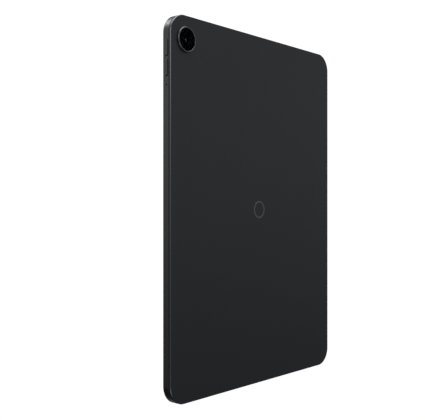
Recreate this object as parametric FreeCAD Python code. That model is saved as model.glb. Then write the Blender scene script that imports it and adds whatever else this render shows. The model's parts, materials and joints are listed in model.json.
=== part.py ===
"""Tablet computer with an 11-inch class screen, upright in portrait on its short edge.

Row frame: +X towards the volume keys (the right hand of a person facing the screen), -Y out of
the screen, +Z up. The origin is the middle of the bottom edge. All sizes are in millimetres.

From front to back it is cover glass, ink border, polariser, display panel, backlight, mid plate,
then one layer of batteries, boards and speakers, and the back cover with its camera ring.
Parts in a side wall are drawn in a wall frame: local -X runs into the tablet from its outer
surface, local Z runs along the edge, and on_edge() puts them on one of the four edges.
"""

import FreeCAD, Part
import os

# ---------------------------------------------------------------- driving dimensions
BODY_W = 188.0              # across the short edge
BODY_H = 255.1              # along the long edge
BODY_T = 6.9                # without the camera ring
CORNER_R = 13.0             # outline corner, seen from the back
WALL_T = 2.2                # side wall of the frame
SIDE_AXIS_Y = -0.1          # line on which keys, microphones, tray and port sit
MID_Z = BODY_H / 2
SLACK = 0.1                 # play between a part and the pocket that holds it
FIT_GAP = 0.02              # glue gap round an inlaid piece
PAST = 1.0                  # how far a cutting tool runs past the surface it opens

# ---------------------------------------------------------------- layers through the thickness
Y_FRONT = -BODY_T / 2
Y_BACK = BODY_T / 2
GLASS_T = 0.55
INK_T = 0.1
PANEL_T = 0.6
BACKLIGHT_T = 1.0
TAPE_T = 0.2
FLANGE_T = 1.5
MID_PLATE_T = 0.35
COVER_T = 0.8
COVER_RIM_T = 1.5           # depth of the cover's rim, from the back face
SEAM_W = 0.35               # dark seam between the cover's rim and the frame

Y_GLASS = Y_FRONT + GLASS_T             # back of the cover glass
Y_INK = Y_GLASS + INK_T
Y_PANEL = Y_INK + PANEL_T
Y_BACKLIGHT = Y_PANEL + BACKLIGHT_T
Y_FLANGE = Y_INK + TAPE_T               # front of the frame's inner flange
Y_FLANGE_BACK = Y_FLANGE + FLANGE_T
Y_MID = Y_FLANGE_BACK + MID_PLATE_T     # back of the mid plate: floor of the parts layer
Y_COVER_IN = Y_BACK - COVER_T
Y_RIM = Y_BACK - COVER_RIM_T
Y_FRAME_BACK = Y_RIM - SEAM_W

# ---------------------------------------------------------------- frame and cover outlines
FRONT_ROUND = 0.45
REAR_CHAMFER = 0.4
FLANGE_INSET = 7.8
FLANGE_CORNER_R = 2.0
MID_PLATE_INSET = WALL_T + 0.3
RIM_W = 1.9                 # width of the cover's rim, from its outer surface
SEAM_DEPTH = 0.35
BREAK_W = 1.2
BREAK_DEPTH = 0.9
BREAK_X = 78.0
EMBLEM_R = 6.4
EMBLEM_BAND = 1.2
EMBLEM_T = 0.25
VENT_W, VENT_H, VENT_R = 34.0, 50.0, 4.0    # lightening windows in the mid plate
VENT_X = 42.0
VENT_ZS = (70.0, 130.0)

# ---------------------------------------------------------------- display
GLASS_INSET = 0.9
GLASS_ROUND = 0.3
ACTIVE_W = 167.6            # lit area, 7:5
ACTIVE_H = 234.6
BORDER_WINDOW_MARGIN = 0.2
BORDER_WINDOW_R = 1.5
PANEL_W = ACTIVE_W + 2.4
PANEL_H = ACTIVE_H + 2.4
PANEL_R = 1.0
DRIVER_LEDGE = 1.1
BACKLIGHT_MARGIN = 0.5
BACKLIGHT_RIM = 6.0
BACKLIGHT_RECESS = 0.2
TAPE_MARGIN = 0.5           # tape edge to the frame's flange and to the glass edge

# ---------------------------------------------------------------- keys in the side wall
KEY_W = 2.1
KEY_PROUD = 0.45
KEY_ROUND = 0.2
KEY_SHOULDER = 1.2          # depth at which the slot widens for the key's ears
KEY_EAR = 0.8               # how far each ear runs past the cap
KEY_EAR_T = 0.6
KEY_EAR_REST = 0.05         # play between the ears and the shoulder
KEY_GAP = 0.3               # gap round the cap
NUB_W = 0.7
NUB_L = 1.6
DOME_DEPTH = 2.65           # depth of the dome's crown below the outer surface
DOME_H = 0.35
DOME_R = 1.0
DOME_CROWN_R = 0.45
DOME_WALL = 0.12
DOME_TRIM_L = 2.2
SWITCH_DEPTH = DOME_DEPTH + DOME_H
SWITCH_T = 0.8
SWITCH_L = 3.0
SWITCH_LOW = 0.55           # reach below the side axis, just clear of the mid plate
SWITCH_HIGH = 1.0
FLEX_DEPTH = SWITCH_DEPTH + SWITCH_T
FLEX_T = 0.15
VOLUME_KEY_L = 10.6
POWER_KEY_L = 14.0
VOLUME_UP_Z = BODY_H - 23.0
VOLUME_DOWN_Z = BODY_H - 35.8
POWER_X = 70.0
SIDE_MIC_Z = BODY_H - 47.0
BOTTOM_MIC_X = 14.0
MIC_HOLE_R = 0.5
MIC_L = 3.2
MIC_BACK_T = 0.9

# ---------------------------------------------------------------- card tray, left edge
TRAY_Z = 205.0
TRAY_HEAD_L = 17.0
TRAY_HEAD_T = 1.6
TRAY_BODY_W = 12.6
TRAY_BODY_T = 0.9
TRAY_LENGTH = 23.0
TRAY_END_BAR = 1.2
TRAY_LEDGE = 1.2            # ledge that the card lies on, all round
CARD_W = 11.2
CARD_L = 15.2
CARD_T = 0.7
PIN_HOLE_R = 0.45
PIN_HOLE_OFFSET = 7.3
SOCKET_WALL = 0.2
SOCKET_TAIL = 2.6
SOCKET_ROOM = 0.4
ROD_W = 0.8
LEVER_L = 12.0
LEVER_W = 1.4

# ---------------------------------------------------------------- USB-C receptacle, bottom edge
PORT_W = 8.34
PORT_T = 2.56
PORT_WALL = 0.3
PORT_BACK_T = 0.4
PORT_START = 0.9            # depth of the receptacle's front end
PORT_END = 8.1
PORT_SEAT_GAP = 0.05
PORT_MOUTH_W = 8.6
PORT_MOUTH_T = 2.8
PORT_FLARE = 0.25
TONGUE_W = 6.69
TONGUE_T = 0.7
TONGUE_START = 1.7
TONGUE_ROOT_L = 1.6
CONTACT_PITCH = 0.5
CONTACT_COUNT = 12
CONTACT_W = 0.25
CONTACT_T = 0.06
CONTACT_L = 2.9
CONTACT_START = 2.2

# ---------------------------------------------------------------- rear camera
CAMERA_X = BODY_W / 2 - 14.7
CAMERA_Z = BODY_H - 16.0
RING_R = 8.5
RING_PROUD = 1.3
RING_CHAMFER = 0.3
RING_FLANGE_R = 9.4        # flange that holds the ring inside the cover
RING_FLANGE_T = 0.4
RING_BORE_R = 6.2
WINDOW_R = 7.5
WINDOW_T = 0.55
WINDOW_SUNK = 0.1
WINDOW_CHAMFER = 0.12
BAFFLE_T = 0.25
BAFFLE_HOLE_R = 2.7
BAFFLE_FLARE = 0.8
CAMERA_SIDE = 9.6
CAMERA_CORNER_R = 0.6
CAMERA_NECK_R = 5.0
CAMERA_GAP = 0.15           # can to ring flange, and neck to barrel rim
IMAGER_BOARD_T = 0.3
IMAGER_T = 0.1
IMAGER_W, IMAGER_H = 6.4, 5.0
BARREL_R = 3.1
BARREL_BORE_R = 2.1
BARREL_FLOOR = 0.6
BARREL_REST = 0.05
FOCUS_TRAVEL = 0.25
FOCUS_SPARE = 0.1           # baffle to barrel at full travel
LENS_R = 2.05
LENS_SEAT = 0.7
LENS_EDGE_T = 0.15
LENS_RISE = 0.45
LIGHT_PATH_R = 1.5

# ---------------------------------------------------------------- front camera and light sensor
FRONT_CAMERA_X = BODY_W / 2 - 5.3
FRONT_CAMERA_SIDE = 5.0
FRONT_CAMERA_PROUD = 0.6    # behind the mid plate
FRONT_CAMERA_GAP = 0.05
FRONT_HOLE_R = 1.6
FRONT_BORE_R = 1.35
FRONT_LENS_R = 1.3
FRONT_LENS_RISE = 0.3
FRONT_LENS_SUNK = 0.35
FRONT_BORE_DEPTH = 1.2
SENSOR_OFFSET = 12.0
SENSOR_SIDE = 1.6
SENSOR_HOLE_R = 0.7
SENSOR_PROUD = 0.3

# ---------------------------------------------------------------- speakers
SPEAKER_W = 46.0
SPEAKER_D = 20.0
SPEAKER_T = 3.1
SPEAKER_CORNER_R = 2.5
SPEAKER_INSET = 3.2         # from the outer edge to the speaker box
TOP_SPEAKER_X = 34.0
BOTTOM_SPEAKER_X = 40.0
EAR_R = 2.2
EAR_OUT = 1.6               # ear centre, past the box
EAR_IN = 4.0                # ear centre, from the box's end
DRIVER_W = 24.0
DRIVER_D = 13.0
DRIVER_T = 2.1
DRIVER_CORNER_R = 3.0
DISH_DEPTH = 0.4
SLOT_COUNT = 7
SLOT_L = 3.0
SLOT_W = 1.1
SLOT_PITCH = 4.2
MESH_DEPTH = 1.5
MESH_T = 0.2
MESH_L = SLOT_COUNT * SLOT_PITCH + 1.0
MESH_W = SLOT_W + 0.8

# ---------------------------------------------------------------- boards
BOARD_T = 0.8
BOARD_LIFT = 0.1
BOARD_R = 2.0
Y_BOARD = Y_MID + BOARD_LIFT
Y_BOARD_TOP = Y_BOARD + BOARD_T
BOARD_X0, BOARD_X1 = -62.0, 84.0
BOARD_Z0, BOARD_Z1 = 176.0, 226.0
BOARD_SCREW_XS = (-57.0, -8.0, 38.0, 79.0)
BOARD_SCREW_INSET = 4.0
SUB_BOARD_W = 30.0
SUB_BOARD_Z1 = 26.0
SUB_SCREW_X = 11.5
SUB_SCREW_INSET = 3.0
PLUG_T = 0.45
Y_PLUG_TOP = Y_BOARD_TOP + PLUG_T
CAN_H = 1.6
CAN_WALL = 0.15
CAN_R = 1.2
PROCESSOR_CAN = (14.0, 198.0, 36.0, 30.0)   # x, z, width, height
POWER_CAN = (-33.0, 198.0, 38.0, 30.0)
CHIP_T = 0.9
CHIPS = ((24.0, 200.0, 11.0, 13.0), (-40.0, 200.0, 9.0, 9.0), (-26.0, 194.0, 7.0, 8.0))
PROCESSOR_X, PROCESSOR_Z = 8.0, 200.0
PROCESSOR_SIDE = 15.0
MEMORY_SIDE = 13.6
PACKAGE_T = 0.6
THERMAL_PAD_T = 0.7
GRAPHITE_W, GRAPHITE_H, GRAPHITE_T = 140.0, 46.0, 0.1
SCREW_HEAD_R = 1.3
SCREW_HEAD_H = 0.5
SCREW_DRIVE_R = 0.5
SCREW_SHANK_R = 0.7
SCREW_HOLE_R = 0.8
CARRIER_SIDE = 18.0
CARRIER_T = 2.6
CARRIER_X, CARRIER_INSET_Z = 80.0, 14.5

# ---------------------------------------------------------------- batteries and flat cables
CELL_W = 82.0
CELL_GAP = 4.0
CELL_Z0, CELL_Z1 = 34.0, 168.0
CELL_T = 3.1
CELL_TAPE_T = 0.15
CELL_TAPE_W = 14.0
CELL_TAPE_XS = (12.5, 72.0)
CELL_ROUND = 1.1
GAUGE_W, GAUGE_T, GAUGE_H = 96.0, 2.0, 4.0
GAUGE_Z = CELL_Z1 + 2.3
GAUGE_CABLE_X = 30.0
GAUGE_CABLE_W = 8.0
LINK_X = -16.0
LINK_W = 12.0
LINK_SHIFT = 14.0           # sideways step of the link cable near the bottom
CAMERA_CABLE_X = CAMERA_X - 8.0
CAMERA_CABLE_W = 6.0
POWER_CABLE_X = 61.5
KEY_CABLE_W = 4.0
DISPLAY_CABLE_X = 10.0
DISPLAY_CABLE_W = 22.0
DISPLAY_SLOT_Z = BOARD_Z1 + 1.4

EDGE_TURN = {"right": 0.0, "top": -90.0, "left": 180.0, "bottom": 90.0}


# ---------------------------------------------------------------- shape helpers
def box(x0, x1, y0, y1, z0, z1):
    """A block between two corners."""
    return Part.makeBox(x1 - x0, y1 - y0, z1 - z0, FreeCAD.Vector(x0, y0, z0))


def plate(x, z, width, height, y0, y1):
    """A block of width (X) and height (Z) about a centre, from y0 to y1."""
    return box(x - width / 2, x + width / 2, y0, y1, z - height / 2, z + height / 2)


def disc(radius, y0, y1, x, z):
    """A round plate or rod across the thickness."""
    return Part.makeCylinder(radius, y1 - y0, FreeCAD.Vector(x, y0, z), FreeCAD.Vector(0, 1, 0))


def rounded_plate(width, height, radius, y0, y1, x=0.0, z=MID_Z):
    """A plate with rounded corners, facing along Y."""
    corners = [(1, 1), (-1, 1), (-1, -1), (1, -1)]
    diagonal = radius * 0.5 ** 0.5
    arcs = []
    for index, (side_x, side_z) in enumerate(corners):
        cx = x + side_x * (width / 2 - radius)
        cz = z + side_z * (height / 2 - radius)
        flank = FreeCAD.Vector(cx + side_x * radius, y0, cz)
        crown = FreeCAD.Vector(cx, y0, cz + side_z * radius)
        middle = FreeCAD.Vector(cx + side_x * diagonal, y0, cz + side_z * diagonal)
        start, end = (flank, crown) if index % 2 == 0 else (crown, flank)
        arcs.append((start, middle, end))
    edges = []
    for index, (start, middle, end) in enumerate(arcs):
        next_start = arcs[(index + 1) % len(arcs)][0]
        edges.append(Part.Arc(start, middle, end).toShape())
        edges.append(Part.makeLine(end, next_start))
    return Part.Face(Part.Wire(edges)).extrude(FreeCAD.Vector(0, y1 - y0, 0))


def inset_plate(inset, y0, y1, radius=None):
    """A plate that follows the tablet's outline, set in from it."""
    if radius is None:
        radius = CORNER_R - inset
    return rounded_plate(BODY_W - 2 * inset, BODY_H - 2 * inset, radius, y0, y1)


def dome_lens(radius, rise, y_edge, toward_back):
    """A spherical cap of one radius and rise, on the y axis, bulging back or front from y_edge."""
    sphere_r = (radius ** 2 + rise ** 2) / (2 * rise)
    sign = 1 if toward_back else -1
    return Part.makeSphere(sphere_r, FreeCAD.Vector(0, y_edge + sign * (rise - sphere_r), 0))


def fused(shapes):
    """One solid from several that touch or overlap."""
    whole = shapes[0]
    for shape in shapes[1:]:
        whole = whole.fuse(shape)
    return whole.removeSplitter()


def cut(shape, tools):
    """The shape less every tool."""
    return shape.cut(Part.makeCompound(tools))


def edges_on(shape, axis, value):
    """The edges that lie wholly on one plane."""
    near = 1e-4
    found = []
    for edge in shape.Edges:
        low = getattr(edge.BoundBox, axis + "Min")
        high = getattr(edge.BoundBox, axis + "Max")
        if abs(low - value) < near and abs(high - value) < near:
            found.append(edge)
    return found


def edges_along(shape, axis, length):
    """The straight edges that run one full length along an axis."""
    near = 1e-6
    return [edge for edge in shape.Edges if abs(getattr(edge.BoundBox, axis + "Length") - length) < near]


# ---------------------------------------------------------------- the wall frame
def wall_block(depth0, depth1, y0, y1, length, along=0.0):
    """A block in the wall frame, from depth0 to depth1 below the outer surface."""
    return box(-depth1, -depth0, y0, y1, along - length / 2, along + length / 2)


def wall_rod(radius, depth0, depth1, along=0.0):
    """A round hole or rod square to the wall, in the wall frame."""
    start = FreeCAD.Vector(-depth1, SIDE_AXIS_Y, along)
    return Part.makeCylinder(radius, depth1 - depth0, start, FreeCAD.Vector(1, 0, 0))


def pill(length, width, depth0, depth1, along=0.0):
    """A bar with round ends in the wall frame."""
    radius = width / 2
    reach = length / 2 - radius
    middle = wall_block(depth0, depth1, SIDE_AXIS_Y - radius, SIDE_AXIS_Y + radius, 2 * reach, along)
    ends = [wall_rod(radius, depth0, depth1, along + side * reach) for side in (-1, 1)]
    return fused([middle] + ends)


def on_edge(shape, edge, along):
    """Moves a shape from the wall frame to one of the tablet's four edges."""
    spots = {
        "right": FreeCAD.Vector(BODY_W / 2, 0, along),
        "left": FreeCAD.Vector(-BODY_W / 2, 0, along),
        "top": FreeCAD.Vector(along, 0, BODY_H),
        "bottom": FreeCAD.Vector(along, 0, 0),
    }
    placed = shape.copy()
    placed.rotate(FreeCAD.Vector(0, 0, 0), FreeCAD.Vector(0, 1, 0), EDGE_TURN[edge])
    placed.translate(spots[edge])
    return placed


# ---------------------------------------------------------------- where things are fastened
def speaker_centres():
    """(x, z) of the four speaker boxes."""
    from_edge = SPEAKER_INSET + SPEAKER_D / 2
    top = [(side * TOP_SPEAKER_X, BODY_H - from_edge) for side in (-1, 1)]
    bottom = [(side * BOTTOM_SPEAKER_X, from_edge) for side in (-1, 1)]
    return top + bottom


def ear_spots(centre_x, centre_z):
    """(x, z) of a speaker's two screw ears, on its inner side."""
    inward = -1 if centre_z > MID_Z else 1
    ear_z = centre_z + inward * (SPEAKER_D / 2 + EAR_OUT)
    return [(centre_x + side * (SPEAKER_W / 2 - EAR_IN), ear_z) for side in (-1, 1)]


def main_board_spots():
    """(x, z) of the main board's screws."""
    rows = (BOARD_Z0 + BOARD_SCREW_INSET, BOARD_Z1 - BOARD_SCREW_INSET)
    return [(x, z) for x in BOARD_SCREW_XS for z in rows]


def sub_board_spots():
    """(x, z) of the sub board's screws."""
    return [(side * SUB_SCREW_X, SUB_BOARD_Z1 - SUB_SCREW_INSET) for side in (-1, 1)]


def screw_spots():
    """(x, z) of every chassis screw: main board, sub board and speaker ears."""
    ears = [spot for centre in speaker_centres() for spot in ear_spots(*centre)]
    return main_board_spots() + sub_board_spots() + ears


def round_holes(spots, y0, y1, radius):
    """Holes across the thickness at these spots."""
    return [disc(radius, y0, y1, x, z) for x, z in spots]


# ---------------------------------------------------------------- openings in the side wall
def key_slot(length):
    """The stepped slot that a key sits in, in the wall frame."""
    half = KEY_W / 2 + KEY_GAP
    mouth = pill(length + 2 * KEY_GAP, 2 * half, -PAST, KEY_SHOULDER + FIT_GAP)
    ear_room = wall_block(
        KEY_SHOULDER, WALL_T + FIT_GAP, SIDE_AXIS_Y - half, SIDE_AXIS_Y + half,
        length + 2 * KEY_EAR + 2 * SLACK,
    )
    return fused([mouth, ear_room])


def speaker_slots():
    """A row of sound slots and the pocket for the mesh behind them, in the wall frame."""
    first = -(SLOT_COUNT - 1) / 2 * SLOT_PITCH
    slots = [
        pill(SLOT_L, SLOT_W, -PAST, WALL_T + FIT_GAP, first + index * SLOT_PITCH)
        for index in range(SLOT_COUNT)
    ]
    pocket = pill(MESH_L + 2 * SLACK, MESH_W + 2 * SLACK, MESH_DEPTH, WALL_T + FIT_GAP)
    return slots + [pocket]


def port_opening():
    """The receptacle's seat and its flared mouth, in the wall frame."""
    seat_grow = 2 * (PORT_WALL + PORT_SEAT_GAP)
    seat = pill(
        PORT_W + seat_grow, PORT_T + seat_grow, PORT_START - PORT_SEAT_GAP, WALL_T + FLANGE_INSET)
    mouth = pill(PORT_MOUTH_W, PORT_MOUTH_T, -PAST, PORT_START)
    flare = pill(PORT_MOUTH_W + 2 * PORT_FLARE, PORT_MOUTH_T + 2 * PORT_FLARE, -PAST, PORT_FLARE)
    flare = flare.makeChamfer(PORT_FLARE - FIT_GAP, edges_on(flare, "X", -PORT_FLARE))
    return [seat, mouth, flare]


def tray_opening():
    """The tray's seat, the slot for its body and the hole for the eject rod, in the wall frame."""
    half = TRAY_BODY_T / 2 + SLACK
    seat = pill(TRAY_HEAD_L + 2 * SLACK, KEY_W + 2 * SLACK, -PAST, TRAY_HEAD_T + SLACK)
    slot = wall_block(
        TRAY_HEAD_T, WALL_T + FIT_GAP, SIDE_AXIS_Y - half, SIDE_AXIS_Y + half, TRAY_BODY_W + 2 * SLACK)
    rod_hole = wall_rod(PIN_HOLE_R, TRAY_HEAD_T, WALL_T + FIT_GAP, PIN_HOLE_OFFSET)
    return [seat, slot, rod_hole]


def speaker_rows():
    """(edge, position along it) of the four rows of sound slots."""
    rows = (("top", TOP_SPEAKER_X), ("bottom", BOTTOM_SPEAKER_X))
    return [(edge, side * offset) for edge, offset in rows for side in (-1, 1)]


def wall_cutters():
    """Everything that is cut through the frame's side wall, in place."""
    volume_slot = key_slot(VOLUME_KEY_L)
    mic_hole = wall_rod(MIC_HOLE_R, -PAST, WALL_T + FIT_GAP)
    tools = [
        on_edge(volume_slot, "right", VOLUME_UP_Z),
        on_edge(volume_slot, "right", VOLUME_DOWN_Z),
        on_edge(key_slot(POWER_KEY_L), "top", POWER_X),
        on_edge(mic_hole, "right", SIDE_MIC_Z),
        on_edge(mic_hole, "bottom", BOTTOM_MIC_X),
    ]
    tools += [on_edge(tool, "left", TRAY_Z) for tool in tray_opening()]
    tools += [on_edge(tool, "bottom", 0.0) for tool in port_opening()]
    tools += [on_edge(tool, edge, along) for edge, along in speaker_rows() for tool in speaker_slots()]
    return tools


def front_sensor_room(y0, y1):
    """Square holes for the front camera and the light sensor."""
    camera = FRONT_CAMERA_SIDE + 2 * SLACK
    sensor = SENSOR_SIDE + 2 * SLACK
    return [
        plate(FRONT_CAMERA_X, MID_Z, camera, camera, y0, y1),
        plate(FRONT_CAMERA_X, MID_Z + SENSOR_OFFSET, sensor, sensor, y0, y1),
    ]


# ---------------------------------------------------------------- housing
def break_insert():
    """One plastic antenna break in the frame's outer skin, in the wall frame."""
    return wall_block(0.0, BREAK_DEPTH, Y_FRONT + FRONT_ROUND, Y_FRAME_BACK, BREAK_W)


def break_groove():
    """The groove for one antenna break, in the wall frame."""
    return wall_block(
        -PAST, BREAK_DEPTH + FIT_GAP, Y_FRONT + FRONT_ROUND - FIT_GAP, Y_FRAME_BACK + PAST,
        BREAK_W + 2 * FIT_GAP)


def at_breaks(shape):
    """Copies of a shape at the four antenna breaks."""
    return [on_edge(shape, edge, side * BREAK_X) for edge in ("top", "bottom") for side in (-1, 1)]


def side_frame():
    """The aluminium frame: side wall, lip round the glass and inner flange."""
    outer = inset_plate(0.0, Y_FRONT, Y_FRAME_BACK)
    outer = outer.makeFillet(FRONT_ROUND, edges_on(outer, "Y", Y_FRONT))
    tools = [
        inset_plate(GLASS_INSET - SLACK, Y_FRONT - PAST, Y_FLANGE),
        inset_plate(FLANGE_INSET, Y_FRONT - PAST, Y_BACK, radius=FLANGE_CORNER_R),
        inset_plate(WALL_T, Y_FLANGE_BACK, Y_BACK),
    ]
    tools += wall_cutters()
    tools += front_sensor_room(Y_FLANGE - PAST, Y_BACK)
    tools += at_breaks(break_groove())
    return cut(outer, tools)


def cover_seal():
    """The black seal that shows as a thin seam between the cover and the frame."""
    room = inset_plate(RIM_W, Y_FRAME_BACK - PAST, Y_RIM + PAST)
    return inset_plate(SEAM_DEPTH, Y_FRAME_BACK, Y_RIM).cut(room)


def back_cover():
    """The aluminium back: a shallow pan with a bright-cut rear edge and a hole for the camera ring."""
    outer = inset_plate(0.0, Y_RIM, Y_BACK)
    outer = outer.makeChamfer(REAR_CHAMFER, edges_on(outer, "Y", Y_BACK))
    hollow = inset_plate(RIM_W, Y_RIM - PAST, Y_COVER_IN)
    camera_hole = disc(RING_R + FIT_GAP, Y_RIM, Y_BACK + PAST, CAMERA_X, CAMERA_Z)
    return cut(outer, [hollow, camera_hole, emblem_groove()])


def emblem_ring():
    """A plain ring, flush with the back face."""
    outer = disc(EMBLEM_R, Y_BACK - EMBLEM_T, Y_BACK, 0, MID_Z)
    return outer.cut(disc(EMBLEM_R - EMBLEM_BAND, Y_BACK - EMBLEM_T, Y_BACK, 0, MID_Z))


def emblem_groove():
    """The groove that the emblem ring is glued into."""
    outer = disc(EMBLEM_R + FIT_GAP, Y_BACK - EMBLEM_T, Y_BACK + PAST, 0, MID_Z)
    return outer.cut(disc(EMBLEM_R - EMBLEM_BAND - FIT_GAP, Y_BACK - EMBLEM_T, Y_BACK + PAST, 0, MID_Z))


def mid_plate():
    """The stamped plate behind the display, which carries the boards and the batteries."""
    y0, y1 = Y_FLANGE_BACK - PAST, Y_MID + PAST
    port_room = plate(0, 0, PORT_W + 2 * PORT_WALL + 0.6, 2 * PORT_END + 0.6, y0, y1)
    cable_slot = plate(DISPLAY_CABLE_X, DISPLAY_SLOT_Z, DISPLAY_CABLE_W + 4.0, 1.2, y0, y1)
    vents = [
        rounded_plate(VENT_W, VENT_H, VENT_R, y0, y1, x=side * VENT_X, z=z)
        for side in (-1, 1) for z in VENT_ZS
    ]
    tools = [port_room, cable_slot] + vents
    tools += round_holes(screw_spots(), y0, y1, SCREW_SHANK_R + FIT_GAP)
    tools += front_sensor_room(y0, y1)
    return cut(inset_plate(MID_PLATE_INSET, Y_FLANGE_BACK, Y_MID), tools)


# ---------------------------------------------------------------- display
def cover_glass():
    """The front glass, with its front edge rounded."""
    glass = inset_plate(GLASS_INSET, Y_FRONT, Y_GLASS)
    return glass.makeFillet(GLASS_ROUND, edges_on(glass, "Y", Y_FRONT))


def ink_border():
    """The black border behind the glass, with its window and the two sensor holes."""
    y0, y1 = Y_GLASS - PAST, Y_INK + PAST
    window = rounded_plate(
        ACTIVE_W + 2 * BORDER_WINDOW_MARGIN, ACTIVE_H + 2 * BORDER_WINDOW_MARGIN, BORDER_WINDOW_R, y0, y1)
    lens_hole = disc(FRONT_HOLE_R, y0, y1, FRONT_CAMERA_X, MID_Z)
    light_hole = disc(SENSOR_HOLE_R, y0, y1, FRONT_CAMERA_X, MID_Z + SENSOR_OFFSET)
    return cut(inset_plate(GLASS_INSET + SLACK, Y_GLASS, Y_INK), [window, lens_hole, light_hole])


def polariser():
    """The dark film that fills the border's window."""
    margin = BORDER_WINDOW_MARGIN
    return rounded_plate(ACTIVE_W + margin, ACTIVE_H + margin, BORDER_WINDOW_R - SLACK, Y_GLASS, Y_INK)


def display_panel():
    """The liquid crystal panel: two glass sheets, the front one short of the driver ledge."""
    y_between = Y_INK + PANEL_T / 2
    top = MID_Z + PANEL_H / 2
    front = rounded_plate(PANEL_W, PANEL_H, PANEL_R, Y_INK, y_between)
    ledge = box(-PANEL_W / 2, PANEL_W / 2, Y_INK - PAST, y_between, top - DRIVER_LEDGE, top)
    rear = rounded_plate(PANEL_W, PANEL_H, PANEL_R, y_between, Y_PANEL)
    return fused([front.cut(ledge), rear])


def backlight_tray():
    """The backlight: light guide and films in a pressed tray with a raised rim."""
    width, height = PANEL_W + 2 * BACKLIGHT_MARGIN, PANEL_H + 2 * BACKLIGHT_MARGIN
    tray = rounded_plate(width, height, PANEL_R + BACKLIGHT_MARGIN, Y_PANEL, Y_BACKLIGHT)
    recess = rounded_plate(
        width - 2 * BACKLIGHT_RIM, height - 2 * BACKLIGHT_RIM, PANEL_R,
        Y_BACKLIGHT - BACKLIGHT_RECESS, Y_BACKLIGHT + PAST)
    return tray.cut(recess)


def display_tape():
    """The foam tape that bonds the glass to the frame's flange."""
    tape = inset_plate(GLASS_INSET + TAPE_MARGIN, Y_INK, Y_FLANGE)
    room = inset_plate(FLANGE_INSET + TAPE_MARGIN, Y_INK - PAST, Y_FLANGE + PAST, radius=FLANGE_CORNER_R)
    return cut(tape, [room] + front_sensor_room(Y_INK - PAST, Y_FLANGE + PAST))


# ---------------------------------------------------------------- keys and microphones
def key(length):
    """A key: round-ended cap, ears that stop it inside the wall, and a nub for the switch."""
    ear_depth = KEY_SHOULDER + KEY_EAR_REST
    half = KEY_W / 2
    cap = pill(length, KEY_W, -KEY_PROUD, ear_depth)
    cap = cap.makeFillet(KEY_ROUND, edges_on(cap, "X", KEY_PROUD))
    ears = wall_block(
        ear_depth, ear_depth + KEY_EAR_T, SIDE_AXIS_Y - half, SIDE_AXIS_Y + half, length + 2 * KEY_EAR)
    nub = wall_block(
        ear_depth + KEY_EAR_T, DOME_DEPTH - FIT_GAP, SIDE_AXIS_Y - NUB_W / 2, SIDE_AXIS_Y + NUB_W / 2, NUB_L)
    return fused([cap, ears, nub])


def dome():
    """A snap dome: a thin cap that stands off the switch base, in the wall frame."""
    foot = FreeCAD.Vector(-SWITCH_DEPTH, SIDE_AXIS_Y, 0)
    outward = FreeCAD.Vector(1, 0, 0)
    crown = Part.makeCone(DOME_R, DOME_CROWN_R, DOME_H, foot, outward)
    room = Part.makeCone(DOME_R - DOME_WALL, DOME_CROWN_R - DOME_WALL, DOME_H - DOME_WALL, foot, outward)
    trim = wall_block(
        DOME_DEPTH - SLACK, SWITCH_DEPTH + SLACK,
        SIDE_AXIS_Y - SWITCH_LOW, SIDE_AXIS_Y + SWITCH_HIGH, DOME_TRIM_L)
    return crown.cut(room).common(trim)


def on_switch_line(depth0, depth1, length, along=0.0):
    """A block in the wall frame as tall as a switch base."""
    return wall_block(
        depth0, depth1, SIDE_AXIS_Y - SWITCH_LOW, SIDE_AXIS_Y + SWITCH_HIGH, length, along)


def at_keys(shape):
    """Copies of a shape behind the volume keys and the power key."""
    spots = (("right", VOLUME_UP_Z), ("right", VOLUME_DOWN_Z), ("top", POWER_X))
    return [on_edge(shape, edge, along) for edge, along in spots]


def key_strip(edge, low, high):
    """The stretch of a key cable that stands against a wall."""
    strip = on_switch_line(FLEX_DEPTH, FLEX_DEPTH + FLEX_T, high - low)
    return on_edge(strip, edge, (low + high) / 2)


def volume_flex():
    """The volume keys' cable, with its tail out to the main board's plug."""
    low, high = SIDE_MIC_Z - 4.0, VOLUME_UP_Z + 4.0
    tail = box(BOARD_X1 - 5.0, BODY_W / 2 - FLEX_DEPTH, Y_PLUG_TOP, Y_PLUG_TOP + FLEX_T, low, low + 6.0)
    return fused([key_strip("right", low, high), tail])


def power_flex():
    """The power key's cable, which runs down beside the camera to the main board."""
    half = KEY_CABLE_W / 2
    strip = key_strip("top", POWER_CABLE_X - half, POWER_X + 5.0)
    tail = box(
        POWER_CABLE_X - half, POWER_CABLE_X + half, Y_PLUG_TOP, Y_PLUG_TOP + FLEX_T,
        BOARD_Z1 - 8.0, BODY_H - FLEX_DEPTH)
    return fused([strip, tail])


def microphones():
    """Two microphones in rubber boots behind their holes."""
    sound_hole = wall_rod(MIC_HOLE_R, WALL_T - PAST, FLEX_DEPTH - MIC_BACK_T)
    boot = on_switch_line(WALL_T, FLEX_DEPTH, MIC_L).cut(sound_hole)
    return [on_edge(boot, "right", SIDE_MIC_Z), on_edge(boot, "bottom", BOTTOM_MIC_X)]


# ---------------------------------------------------------------- card tray
def card_tray():
    """The card tray: head, and an open frame with a ledge for one memory card."""
    y0, y1 = SIDE_AXIS_Y - TRAY_BODY_T / 2, SIDE_AXIS_Y + TRAY_BODY_T / 2
    card_end = TRAY_LENGTH - TRAY_END_BAR
    card_start = card_end - CARD_L
    head = pill(TRAY_HEAD_L, KEY_W, 0.0, TRAY_HEAD_T)
    head = head.cut(wall_rod(PIN_HOLE_R, -PAST, TRAY_HEAD_T + PAST, PIN_HOLE_OFFSET))
    body = wall_block(TRAY_HEAD_T, TRAY_LENGTH, y0, y1, TRAY_BODY_W)
    card = wall_block(card_start, card_end, y1 - CARD_T, y1 + PAST, CARD_W)
    window = wall_block(
        card_start + TRAY_LEDGE, card_end - TRAY_LEDGE, y0 - PAST, y1, CARD_W - 2 * TRAY_LEDGE)
    return on_edge(fused([head, cut(body, [card, window])]), "left", TRAY_Z)


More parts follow.
